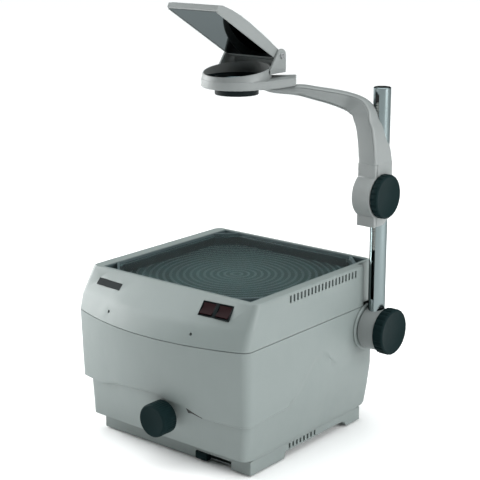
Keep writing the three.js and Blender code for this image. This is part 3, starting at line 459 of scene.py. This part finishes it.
def casing_point(side, t, sides):
    """A point of the wall's plan: `side` is a corner or a straight, t how far along it."""
    left, right, front, rear, bow = sides
    near, back = CASING["corner"], CASING["rear_corner"]
    corners = {
        "front_left": ((left + near, front + near), near, 180),
        "front_right": ((right - near, front + near), near, 270),
        "rear_right": ((right - back, rear - back), back, 0),
        "rear_left": ((left + back, rear - back), back, 90),
    }
    if side in corners:
        centre, radius, start = corners[side]
        angle = math.radians(start + 90 * t)
        x, y = centre[0] + radius * math.cos(angle), centre[1] + radius * math.sin(angle)
    elif side == "front":
        x, y = left + near + (right - left - 2 * near) * t, front
    elif side == "right":
        x, y = right, front + near + (rear - back - front - near) * t
    elif side == "rear":
        x, y = right - back + (left - right + 2 * back) * t, rear
    else:
        x, y = left, rear - back + (front + near - rear + back) * t
    if side.startswith("front"):
        y -= bow_at(x, left, right, bow)
    return x, y


# Height of the wave line along the front, and along the right wall where it runs up into an arch.
FRONT_WAVE = [(-176, 91), (-125, 92), (-66, 105), (-5, 110.5), (45, 103.5), (100, 87.5), (150, 86)]
RIGHT_WAVE = [(-172, 86), (-84, 89), (6, 152), (47, 123), (60, 121)]
# Steps round the plan: most where the wall is bowed or carries the wave.
STRETCHES = [
    ("front_left", 8), ("front", 56), ("front_right", 8), ("right", 56),
    ("rear_right", 8), ("rear", 12), ("rear_left", 8), ("left", 12),
]
PERIMETER = [(side, i / steps) for side, steps in STRETCHES for i in range(steps)]


def wave_height(side, t):
    x, y = casing_point(side, t, casing_sides(WAIST_Z, True))
    if side.startswith("front"):
        return between(FRONT_WAVE, x)
    if side in ("right", "rear_right"):
        return between(RIGHT_WAVE, y)
    if side == "rear":
        return RIGHT_WAVE[-1][1] + (WAIST_Z - RIGHT_WAVE[-1][1]) * t
    return WAIST_Z


RIGHT_FADE, FADE_START, FADE_LENGTH, REAR_DEPTH = 0.35, 0.2, 0.3, 0.2


def wall_depth(side, t):
    """How much of the step under the wave is left: it fades on the right wall and is slight at the rear."""
    if side == "right":
        return 1 - RIGHT_FADE * min(1, max(0, (t - FADE_START) / FADE_LENGTH))
    return {"rear_right": 1 - RIGHT_FADE, "rear": REAR_DEPTH}.get(side, 1)


# Height of the turned-in lower edge, and its left, right, front, rear and bow.
UNDERSIDE = [(24.0, (-151, 147, -148, 129, 0)), (27.0, (-154, 148.5, -160, 144, 1))]
LOWER_ROWS, UPPER_ROWS = 9, 12


def lower_casing():
    rows = []
    for z, sides in UNDERSIDE:
        rows.append([Vector((*casing_point(side, t, sides), z)) for side, t in PERIMETER])
    for i in range(LOWER_ROWS + 1):
        ring = []
        for side, t in PERIMETER:
            z = FOOT_Z + (wave_height(side, t) - STEP / 2 - FOOT_Z) * i / LOWER_ROWS
            x, y = casing_point(side, t, casing_sides(z, False))
            full_x, full_y = casing_point(side, t, casing_sides(z, True))
            share = 1 - (1 - wall_depth(side, t)) * (i / LOWER_ROWS)
            ring.append(Vector((full_x + (x - full_x) * share, full_y + (y - full_y) * share, z)))
        rows.append(ring)
    for i in range(UPPER_ROWS + 1):
        ring = []
        for side, t in PERIMETER:
            start = wave_height(side, t) + STEP / 2
            z = start + (seam - SEAM_GAP - start) * i / UPPER_ROWS
            ring.append(Vector((*casing_point(side, t, casing_sides(z, True)), z)))
        rows.append(ring)
    return skin(rows, capped=False)


CUT_FROM, CUT_TO = 138, 150  # from inside the rear wall to behind it
INLET_RIM = 2.7
GRILLE = {"half_width": 34, "pitch": 8, "half_height": 2, "each_way": 4}


def rear_openings():
    """The hole for the inlet and the slots behind the fan."""
    low, high = extent("power_inlet")
    rim = Vector((INLET_RIM, 0, INLET_RIM))
    low, high = low + rim, high - rim
    holes = [box((low.x, CUT_FROM, low.z), (high.x, CUT_TO, high.z))]
    fan = centre_of("fan_rotor")
    for i in range(-GRILLE["each_way"], GRILLE["each_way"] + 1):
        z = fan.z + GRILLE["pitch"] * i
        holes.append(box((fan.x - GRILLE["half_width"], CUT_FROM, z - GRILLE["half_height"]),
                         (fan.x + GRILLE["half_width"], CUT_TO, z + GRILLE["half_height"])))
    return together(*holes)


lower_shell = add("lower_casing", lower_casing(), casing, "base", ["lower_housing"], angle=50)
thickness = lower_shell.modifiers.new("wall", "SOLIDIFY")
thickness.thickness = WALL * MM
thickness.offset = -1
carve(lower_shell, "rear_openings", rear_openings())

KNUCKLE = {"half": 4.5, "radius": 4.0, "chamfer": 0.4, "spacing": 95, "beside": 9.6, "web": 7}


def knuckle(x):
    """A barrel of the lid hinge with the web that carries it."""
    half, radius, chamfer = KNUCKLE["half"], KNUCKLE["radius"], KNUCKLE["chamfer"]
    rows = [(0, -half), (radius - chamfer, -half), (radius, chamfer - half), (radius, half - chamfer),
            (radius - chamfer, half), (0, half)]
    barrel = lathe(rows, (x, lid_hinge.y, lid_hinge.z), RIGHT, 32)
    web = box((x - half, CASING["rear"] - 1, lid_hinge.z - KNUCKLE["web"]),
              (x + half, lid_hinge.y, lid_hinge.z - SEAM_GAP))
    return together(barrel, web)


for side, sign in (("left", -1), ("right", 1)):
    for end, way in (("a", -1), ("b", 1)):
        knuckle_x = KNUCKLE["spacing"] * sign + KNUCKLE["beside"] * way
        add(f"base_knuckle_{side}_{end}", knuckle(knuckle_x), casing, "base")


# ---------------------------------------------------------------- knobs, hub and post
SHOULDER = 3.2  # radius of a knob's rounded edge


def knob_profile(radius, height, dish=0.8):
    """Side, rounded shoulder and slightly dished face of a round knob, from its back to its face."""
    rows = [(0, 0), (radius - 1.2, 0), (radius, 1.2), (radius, height - SHOULDER)]
    rows += arc((radius - SHOULDER, height - SHOULDER), SHOULDER, 15, 90, 5)
    rows.append((radius - SHOULDER - 1.6, height - 0.15))
    rows += [(radius - SHOULDER - 3, height - dish), (0, height - dish)]
    return rows


GRIP_SHARPNESS = 6  # a higher power makes the hollows narrower


def scalloped(count, depth, fluted_rows):
    """Finger grips: shallow hollows round the side of a knob, fading over its shoulder."""
    def warp(angle, row, radius):
        hollow = abs(math.cos(count * angle / 2)) ** GRIP_SHARPNESS
        return radius - depth * hollow * fluted_rows.get(row, 0)
    return warp


# Share of the full depth of the grips at the rows of a knob's profile.
GRIP_ROWS = {2: 1.0, 3: 1.0, 4: 0.9, 5: 0.6, 6: 0.3, 7: 0.1}
FRINGE_ROWS = {2: 1, 3: 1, 4: 0.5}
GRIPS, GRIP_DEPTH = 24, 1.1
FRINGE_GRIPS, FRINGE_DEPTH = 40, 0.35
KNOB_SEGMENTS = 288


def knob(name, node, body):
    """A large knob that faces right."""
    low, high = extent(node)
    radius, height = (high.y - low.y) / 2, high.x - low.x
    centre = Vector((low.x, (low.y + high.y) / 2, (low.z + high.z) / 2))
    grips = scalloped(GRIPS, GRIP_DEPTH, GRIP_ROWS)
    shape = lathe(knob_profile(radius, height), centre, RIGHT, KNOB_SEGMENTS, grips)
    add(name, shape, knob_black, body, [node], angle=60)


knob("focus_knob_grip", "focus_knob", "focus_wheel")
knob("lock_knob_grip", "lock_knob", "post_lock")

fringe_low, fringe_high = extent("fringe_knob")
fringe_radius = (fringe_high.x - fringe_low.x) / 2
fringe_middle = centre_of("fringe_knob")
fringe_back = Vector((fringe_middle.x, fringe_high.y, fringe_middle.z))
fringe_rows = knob_profile(fringe_radius, fringe_high.y - fringe_low.y, dish=0.5)
fringe_grips = scalloped(FRINGE_GRIPS, FRINGE_DEPTH, FRINGE_ROWS)
fringe_cap = lathe(fringe_rows, fringe_back, FRONT, KNOB_SEGMENTS, fringe_grips)
add("fringe_knob_cap", fringe_cap, knob_black, "fringe_control", ["fringe_knob"], angle=60)

fold = pivot("post_fold")
fold_axis = (0, fold.y, fold.z)
HUB_CHAMFER, HUB_ROUND = 1.5, 4
hub_low, hub_high = extent("post_hub")
hub_radius = (hub_high.y - hub_low.y) / 2
hub_rows = [(0, hub_low.x), (hub_radius - HUB_CHAMFER, hub_low.x), (hub_radius, hub_low.x + HUB_CHAMFER),
            (hub_radius, hub_high.x - HUB_ROUND)]
hub_rows += arc((hub_radius - HUB_ROUND, hub_high.x - HUB_ROUND), HUB_ROUND, 15, 90, 5)
hub_rows.append((0, hub_high.x))
add("hub_body", lathe(hub_rows, fold_axis, RIGHT, 128), arm_casing, "post", ["post_hub"])

FLANGE_BORE, FLANGE_CHAMFER = 8.6, 1.4
flange_low, flange_high = extent("post_flange")
flange_radius = (flange_high.y - flange_low.y) / 2
flange_rows = [
    (FLANGE_BORE, flange_low.x), (flange_radius, flange_low.x),
    (flange_radius, flange_high.x - FLANGE_CHAMFER), (flange_radius - FLANGE_CHAMFER, flange_high.x),
    (FLANGE_BORE, flange_high.x),
]
add("flange_ring", lathe(flange_rows, fold_axis, RIGHT, 128), casing, "base", ["post_flange"])

tube_low, tube_high = extent("post_tube")
post_x, post_y = centre_of("post_tube").xy
post_radius = (tube_high.x - tube_low.x) / 2
SLOT_HALF, TUBE_WALL = 3.0, 1.5
SLOT_BOTTOM, SLOT_TOP = 214.0, 534.0
CLOSED_LIP = 0.001  # degrees left open where the wall has no slot


def tube_section(z, slotted):
    """The tube's wall in plan, from one lip of its slot round to the other."""
    lip = math.degrees(math.asin(SLOT_HALF / post_radius)) if slotted else CLOSED_LIP
    outer = arc((post_x, post_y), post_radius, -90 + lip, 270 - lip, 96)
    inner = arc((post_x, post_y), post_radius - TUBE_WALL, 270 - lip, -90 + lip, 96)
    return [Vector((x, y, z)) for x, y in outer + inner]


tube = together(
    skin([tube_section(z, False) for z in (tube_low.z, SLOT_BOTTOM)]),
    skin([tube_section(z, True) for z in (SLOT_BOTTOM, SLOT_TOP)]),
    skin([tube_section(z, False) for z in (SLOT_TOP, tube_high.z)]),
)
add("chrome_post", tube, chrome, "post", ["post_tube"])
CAP_PLUG = 11  # radius of the plug inside the tube
cap_low, cap_high = extent("post_cap")
cap_rows = [(0, cap_low.z), (CAP_PLUG, cap_low.z), (CAP_PLUG, tube_high.z), (post_radius, tube_high.z + 0.2),
            (post_radius, cap_high.z - 1), (post_radius - 1, cap_high.z), (0, cap_high.z)]
add("chrome_cap", lathe(cap_rows, (post_x, post_y, 0), UP), chrome, "post", ["post_cap"])

# ---------------------------------------------------------------- arm and focus housing
shell_high = extent("arm_shell")[1]
cover_low, cover_high = extent("focus_cover")
focus = pivot("focus_turn")
DISC = 35.0  # radius of the round focus housing
COLUMN = {"left": cover_low.x, "right": shell_high.x, "front": 85.0, "rear": 131.5, "bottom": cover_low.z,
          "seam": cover_high.z + 0.3, "parting": cover_high.y}
reach = Vector((post_x, post_y, 0)).normalized()
# Middle of each arm section from the post to the head: place, twist from 0 to 1, lean, depth, width.
ARM = [
    ((178, 109, 418), 0, 0, 32, 47.6), ((178, 109, 432), 0, 0, 32, 47.6),
    ((176.9, 107, 450), 0, 3, 31.8, 44), ((174.8, 103.5, 467), 0, 5, 31.5, 37),
    ((171.8, 102, 482), 0, 5, 31.5, 34), ((167, 100.5, 493), 0, 4, 31, 31),
    ((163.3, 98.5, 503.2), 0.25, 16, 31, 28), ((158.1, 96, 509.3), 0.5, 32, 31, 27),
    ((150.9, 93.5, 514.4), 0.8, 46, 29, 26),
    (reach * 164 + UP * 518.5, 1, 60, 26, 26), (reach * 144 + UP * 524, 1, 76, 22, 26),
    (reach * 118 + UP * 529.3, 1, 78, 18.5, 26), (reach * 92 + UP * 534, 1, 80, 15, 26),
    (reach * 56 + UP * 533.6, 1, 88, 7, 24), (reach * 40 + UP * 536.2, 1, 90, 2.4, 22),
]


def spline(values, t):
    """Catmull-Rom through a list of numbers or vectors."""
    i = min(int(t), len(values) - 2)
    f = t - i
    a, b = values[max(i - 1, 0)], values[i]
    c, d = values[i + 1], values[min(i + 2, len(values) - 1)]
    linear, square = c - a, a * 2 - b * 5 + c * 4 - d
    cube = b * 3 - a - c * 3 + d
    return (b * 2 + linear * f + square * f * f + cube * f * f * f) * 0.5


def arm_section(t, depth_change=0.0, width=None, shift=0.0, corner=5.0):
    """A rounded rectangle across the arm at t, counted in sections from the post.

    With a width it is a strip of that width at the arm's front side, moved outwards by shift.
    """
    middle = spline([Vector(s[0]) for s in ARM], t)
    twist, lean, depth, full_width = (spline([float(s[k]) for s in ARM], t) for k in (1, 2, 3, 4))
    turn, tilt = twist * math.atan2(reach.y, reach.x), math.radians(lean)
    inwards = Vector((-math.cos(turn) * math.cos(tilt), -math.sin(turn) * math.cos(tilt), -math.sin(tilt)))
    sideways = Vector((math.sin(turn), -math.cos(turn), 0))
    half_depth = (depth + depth_change) / 2
    half_width = (full_width if width is None else width) / 2
    offset = 0.0 if width is None else (full_width - width) / 2 + shift
    radius = min(corner, half_depth * 0.8, half_width * 0.8)
    corners = rounded_rectangle(half_depth, half_width, radius)
    return [middle + inwards * a + sideways * (b + offset) for a, b in corners]


ARM_STEPS = 6
BORE_GAP, BORE_TOP = 0.4, 521
# Places along the arm, six to a section, from just below the second section to the end.
arm_ts = [i / ARM_STEPS for i in range(ARM_STEPS - 1, ARM_STEPS * (len(ARM) - 1) + 1)]
bore = cylinder(post_radius + BORE_GAP, COLUMN["bottom"] - 5, BORE_TOP, (post_x, post_y, 0), 64)

arm_body = add("arm_body", skin([arm_section(t) for t in arm_ts]), arm_casing, "focus_carriage",
               ["arm_shell"], angle=40)
# The side cover starts just past the second section and stops two short of the last.
cover_ts = [t for t in arm_ts if 1.2 <= t <= len(ARM) - 3]
groove = [arm_section(t, depth_change=-5.0, width=4.0, shift=1.6, corner=1.5) for t in cover_ts]
side_cover = [arm_section(t, depth_change=-6.2, width=3.2, shift=-0.1, corner=1.2) for t in cover_ts]
carve(arm_body, "cover_groove", skin(groove))
carve(arm_body, "post_bore", bore)
add("arm_side_cover", skin(side_cover), arm_casing, "focus_carriage", ["arm_cover"])


SEAM_LINE, PARTING_LINE = 0.6, 0.5  # gaps above and behind the front cover


def column_outlines():
    """Outlines of the focus housing in front of the parting plane and behind it, seen from the side."""
    front, rear, parting = COLUMN["front"], COLUMN["rear"], COLUMN["parting"]
    bottom, top = COLUMN["bottom"], COLUMN["seam"]
    middle = (focus.y, focus.z)
    front_angle = math.degrees(math.acos((focus.y - front) / DISC))
    bulge = arc(middle, DISC, 180 + front_angle, 180 - front_angle, 28)
    cover_top = top - SEAM_LINE
    cover = [(front, bottom), *bulge, (front, cover_top), (parting, cover_top), (parting, bottom)]
    rear_angle = math.degrees(math.acos((rear - focus.y) / DISC))
    back = arc(middle, DISC, rear_angle, -rear_angle, 28)
    face = parting + PARTING_LINE
    behind = [(face, bottom), (face, top), (rear, top), *back, (rear, bottom + 18),
              (rear - 4, bottom + 10), (parting + 20, bottom)]
    return cover, behind


cover_outline, behind_outline = column_outlines()
cover_solid = extruded(cover_outline, from_side, COLUMN["left"], COLUMN["right"])
behind_solid = extruded(behind_outline, from_side, COLUMN["left"], COLUMN["right"])
add("focus_front_cover", cover_solid, arm_casing, "focus_carriage", ["focus_cover"],
    rounding=1.2)
column_back = add("focus_housing_back", behind_solid, arm_casing, "focus_carriage",
                  rounding=1.2)
carve(column_back, "column_bore", bore)

# ---------------------------------------------------------------- projection head
head_low = extent("head_housing")[0]
barrel_low, barrel_high = extent("lens_barrel")
mirror_axis = pivot("mirror_tilt")
HEAD_RADIUS, HEAD_BOTTOM, BAND_TOP = 53.0, head_low.z, head_low.z + 12.5
BARREL_HOLE = 33.4  # radius of the hole in the floor of the head
RIM_MIDDLE, RIM_RISE = 26, 14 / 104  # height of the rim over the lens, and its slope towards the hinge


def rim_z(y):
    return HEAD_BOTTOM + RIM_MIDDLE + y * RIM_RISE


def head_bowl():
    """A vertical band, a cone up to the sloping rim, then the inner wall and floor to the lens barrel."""
    # radius, height, and for a row without a height how far it lies above the rim
    rows = [
        (BARREL_HOLE, HEAD_BOTTOM, 0), (HEAD_RADIUS - 2, HEAD_BOTTOM, 0),
        (HEAD_RADIUS - 0.5, HEAD_BOTTOM + 0.6, 0), (HEAD_RADIUS, HEAD_BOTTOM + 2, 0),
        (HEAD_RADIUS, BAND_TOP, 0), (HEAD_RADIUS - 0.6, BAND_TOP + 0.5, 0),
        (HEAD_RADIUS - 2.2, None, -1.0), (HEAD_RADIUS - 2.8, None, -0.2),
        (HEAD_RADIUS - 3.6, None, 0), (HEAD_RADIUS - 4.2, None, -0.6),
        (HEAD_RADIUS - 4.4, HEAD_BOTTOM + 3, 0), (BARREL_HOLE, HEAD_BOTTOM + 3, 0),
    ]
    rings = []
    for radius, z, above_rim in rows:
        ring = []
        for j in range(128):
            angle = 2 * math.pi * j / 128
            x, y = radius * math.cos(angle), radius * math.sin(angle)
            ring.append(Vector((x, y, rim_z(y) + above_rim if z is None else z)))
        rings.append(ring)
    return skin(rings, closed=True)


# Distance along the reach, half width, and underside and top above the bottom of the head.
TAIL = [(20, 49, 0.4, 13), (47, 37.9, 0.4, 13), (60, 32.5, 1.2, 14), (76, 26, 2.9, 15.2), (88, 21, 4.4, 16.2)]
TAIL_CORNER = 2.5


def head_tail():
    """The tapering tail that grips the end of the arm, drawn along the reach."""
    side = Vector((reach.y, -reach.x, 0))
    rings = []
    for distance, half_width, low, high in TAIL:
        middle = reach * distance + UP * (HEAD_BOTTOM + (low + high) / 2)
        corners = rounded_rectangle(half_width, (high - low) / 2, TAIL_CORNER)
        rings.append([middle + side * a + UP * b for a, b in corners])
    return skin(rings)


CHEEK = {"radius": 10.5, "front": 16, "bottom": HEAD_BOTTOM + 25, "gap": 0.6, "thickness": 3.6}
CHEEK_REAR = mirror_axis.y + CHEEK["radius"]
LEDGE_HALF = 50.6  # half width of the ledge and the back wall, out to the faces of the cheeks
LEDGE_BOTTOM, LEDGE_TOP = HEAD_BOTTOM + 20, HEAD_BOTTOM + 26.5


def ear(sign):
    """One of the two cheeks that the mirror turns between."""
    inner = extent("mirror_lid")[1].x + CHEEK["gap"]
    top = arc((mirror_axis.y, mirror_axis.z), CHEEK["radius"], 0, 140, 20)
    outline = [(CHEEK["front"], CHEEK["bottom"]), (CHEEK_REAR, CHEEK["bottom"]), *top]
    return extruded(outline, from_side, sign * inner, sign * (inner + CHEEK["thickness"]))


def from_above(pair, z):
    return Vector((pair[0], pair[1], z))


def ear_ledge():
    """The shelf between the cheeks, behind the bowl."""
    front = CHEEK["front"]
    outline = [(LEDGE_HALF, front), (LEDGE_HALF, CHEEK_REAR), (-LEDGE_HALF, CHEEK_REAR), (-LEDGE_HALF, front)]
    bowl_edge = [(x, y) for x, y in arc((0, 0), HEAD_RADIUS - 1, 156, 24, 40) if y >= front]
    return extruded(outline + bowl_edge, from_above, LEDGE_BOTTOM, LEDGE_TOP)


add("head_bowl", head_bowl(), arm_casing, "focus_carriage", ["head_housing"], angle=30)
tail = add("head_tail", head_tail(), arm_casing, "focus_carriage", angle=30)
BOWL_SPACE = (530, 600)  # from below the head to above it
carve(tail, "tail_bowl_space", cylinder(HEAD_RADIUS - 2, *BOWL_SPACE))

PAD_ROWS = [(0, 22), (3.2, 22), (3.2, 28), (2.6, 30), (1.4, 31), (0, 31.2)]
SCREW_ROWS = [(0, 50.9), (4.4, 50.9), (4.2, 52.4), (3.2, 53), (1.6, 53), (1.4, 51.8), (0, 51.8)]
for label, sign in (("left", -1), ("right", 1)):
    add(f"mirror_cheek_{label}", ear(sign), arm_casing, "focus_carriage", rounding=0.7)
    pad = lathe(PAD_ROWS, (20 * sign, mirror_axis.y + 4, HEAD_BOTTOM), UP, 32)
    add(f"mirror_rest_{label}", pad, acetal, "focus_carriage")
    screw = lathe(SCREW_ROWS, (0, mirror_axis.y, mirror_axis.z), RIGHT * sign, 48)
    add(f"mirror_screw_{label}", screw, steel, "focus_carriage")

BACK_WALL = {"thickness": 2.2, "bottom": HEAD_BOTTOM + 24, "top": HEAD_BOTTOM + 38}
back_wall = box((-LEDGE_HALF, CHEEK_REAR - BACK_WALL["thickness"], BACK_WALL["bottom"]),
                (LEDGE_HALF, CHEEK_REAR, BACK_WALL["top"]))
add("head_back_wall", back_wall, arm_casing, "focus_carriage", rounding=0.5)
add("head_ledge", ear_ledge(), arm_casing, "focus_carriage", rounding=0.6)

barrel_radius = (barrel_high.x - barrel_low.x) / 2
neck = barrel_radius - 3.2  # the barrel below its flange
mount_rows = [
    (30, barrel_low.z), (neck - 0.2, barrel_low.z), (neck, barrel_low.z + 0.6), (neck, 541.4),
    (barrel_radius, 541.4), (barrel_radius, 545), (33, 545), (33, 553), (31, 553.6), (30, 553),
    (29.5, 548), (28.5, 547),
]
liner_rows = [
    (48.4, 541.5), (48.4, 553), (47, 553), (44, 549.5), (43, 549.8), (40, 547), (39, 547.3), (37, 545),
    (37, 541.5),
]
add("lens_mount", lathe(mount_rows, (0, 0, 0), UP, closed=True), trim_black, "focus_carriage",
    ["lens_barrel"])
add("bowl_liner", lathe(liner_rows, (0, 0, 0), UP, closed=True), trim_black, "focus_carriage",
    ["head_liner"])

LENS_EDGE, LENS_ROWS = 3.0, 10


def biconvex(node):
    """A lens with both faces curved, in the box of a CAD node."""
    low, high = extent(node)
    radius, middle = (high.x - low.x) / 2, (low.z + high.z) / 2
    bulge = (high.z - low.z - LENS_EDGE) / 2
    shares = [i / LENS_ROWS for i in range(LENS_ROWS + 1)]
    curve = [(share, LENS_EDGE / 2 + bulge * (1 - share ** 2)) for share in shares]
    rows = [(radius * share, middle - height) for share, height in curve]
    rows += [(radius * share, middle + height) for share, height in reversed(curve)]
    return lathe(rows, (0, 0, 0), UP)


for place in ("lower", "upper"):
    node = f"objective_lens_{place}"
    add(f"lens_{place}", biconvex(node), lens_glass, "focus_carriage", [node])

# ---------------------------------------------------------------- marks on the front
PRINT_LIFT, PRINT_SINK = 0.3, 0.4  # how far a mark stands out of the wall and reaches into it


def front_surface(x, z):
    """Where the front wall below the wave is, along Y."""
    left, right, front, _, bow = casing_sides(z, False)
    return front - bow_at(x, left, right, bow)


def printed(outline):
    """A flat mark that follows the bowed front."""
    near = [Vector((x, front_surface(x, z) - PRINT_LIFT, z)) for x, z in outline]
    far = [Vector((x, front_surface(x, z) + PRINT_SINK, z)) for x, z in outline]
    return skin([near, far])


wedge = [(60, 98.6), (66, 97.4), (85, 89.6), (86, 86.8), (69, 91.6), (62.5, 91.2)]
add("wedge_mark", printed(wedge), print_black, "base")


# ---------------------------------------------------------------- carried-over CAD pieces
CAD_MERGE = 0.002  # points closer together than this are one point
BEVEL_ANGLE, SPLIT_ANGLE = 40, 38  # degrees between two faces above which their edge is rounded, and split


def finish_cad(node, material, rounding):
    """Gives a CAD node that stays visible its material, smooth shading and softened edges."""
    piece = nodes[node]
    piece.data.materials.clear()
    piece.data.materials.append(material)
    for face in piece.data.polygons:
        face.use_smooth = True
    weld = piece.modifiers.new("weld", "WELD")
    weld.merge_threshold = CAD_MERGE * MM
    if rounding:
        soften(piece, rounding, BEVEL_ANGLE)
    split = piece.modifiers.new("sharp_edges", "EDGE_SPLIT")
    split.split_angle = math.radians(SPLIT_ANGLE)
    if rounding:
        piece.modifiers.new("flat_faces", "WEIGHTED_NORMAL").keep_sharp = True


ROUNDED = {
    "upper_housing": 0.3, "lamp_change_tab": 1.0, "mirror_lid": 0.8, "switch_panel": 0.5,
    "power_switch": 0.5, "brightness_switch": 0.5, "front_badge": 0.2, "stage_frame": 0.5,
}
for part in frame["record"]["subparts"]:
    finish_cad(part["node"], SLOT_MATERIALS[part["material_slot"]], ROUNDED.get(part["node"], 0))

# ---------------------------------------------------------------- floor, light and camera
FLOOR_HALF = 30.0
SOFTBOX, LIT_POINT = (1.6, 1.6), (0, 0, 0.25)
PAPER = (0.97, 0.97, 0.97, 1)


def floor():
    half = FLOOR_HALF
    mesh = bpy.data.meshes.new("floor")
    corners = [(-half, -half, 0), (half, -half, 0), (half, half, 0), (-half, half, 0)]
    mesh.from_pydata(corners, [], [[0, 1, 2, 3]])
    mesh.materials.append(shader("floor_paper", Roughness=0.9, Base_Color=PAPER)[0])
    piece = placed("floor", mesh)


def area_light(name, place, power):
    """A softbox that points at the middle of the projector."""
    light = bpy.data.lights.new(name, "AREA")
    light.shape = "RECTANGLE"
    light.size, light.size_y = SOFTBOX
    light.energy = power
    lamp = placed(name, light)
    lamp.location = place
    lamp.rotation_euler = (Vector(LIT_POINT) - Vector(place)).to_track_quat("-Z", "Y").to_euler()


def sky():
    """A studio sky: bright overhead for a white floor, dark at the horizon so the walls keep shading."""
    background = bpy.data.worlds.new("studio")
    bpy.context.scene.world = background
    background.use_nodes = True
    made, links = background.node_tree.nodes, background.node_tree.links
    place = made.new("ShaderNodeTexCoord")
    split = made.new("ShaderNodeSeparateXYZ")
    height = made.new("ShaderNodeMapRange")
    height.inputs["From Min"].default_value = 0.6
    height.inputs["From Max"].default_value = 0.95
    height.inputs["To Min"].default_value = 0.05
    height.inputs["To Max"].default_value = 2.75
    links.new(place.outputs["Generated"], split.inputs["Vector"])
    links.new(split.outputs["Z"], height.inputs["Value"])
    links.new(height.outputs["Result"], made["Background"].inputs["Strength"])
    made["Background"].inputs["Color"].default_value = (0.97, 1.0, 1.0, 1)


LENS, SENSOR_WIDTH = 98.3, 36
EYE, YAW, PITCH = (1240, -1504, 819), 39.36, 14.89  # fitted to the stage, the foot of the casing and the post


def camera():
    data = bpy.data.cameras.new("camera")
    data.lens = LENS
    data.sensor_width = SENSOR_WIDTH
    eye = placed("camera", data)
    yaw, pitch = math.radians(YAW), math.radians(PITCH)
    look = Vector((-math.sin(yaw) * math.cos(pitch), math.cos(yaw) * math.cos(pitch), -math.sin(pitch)))
    eye.location = world(EYE)
    eye.rotation_euler = look.to_track_quat("-Z", "Y").to_euler()
    bpy.context.scene.camera = eye


floor()
sky()
area_light("left_softbox", (-2.5, -0.6, 0.95), 86)
area_light("right_softbox", (2.45, 0.4, 1.0), 50)
camera()
bpy.context.scene.view_settings.view_transform = "Standard"
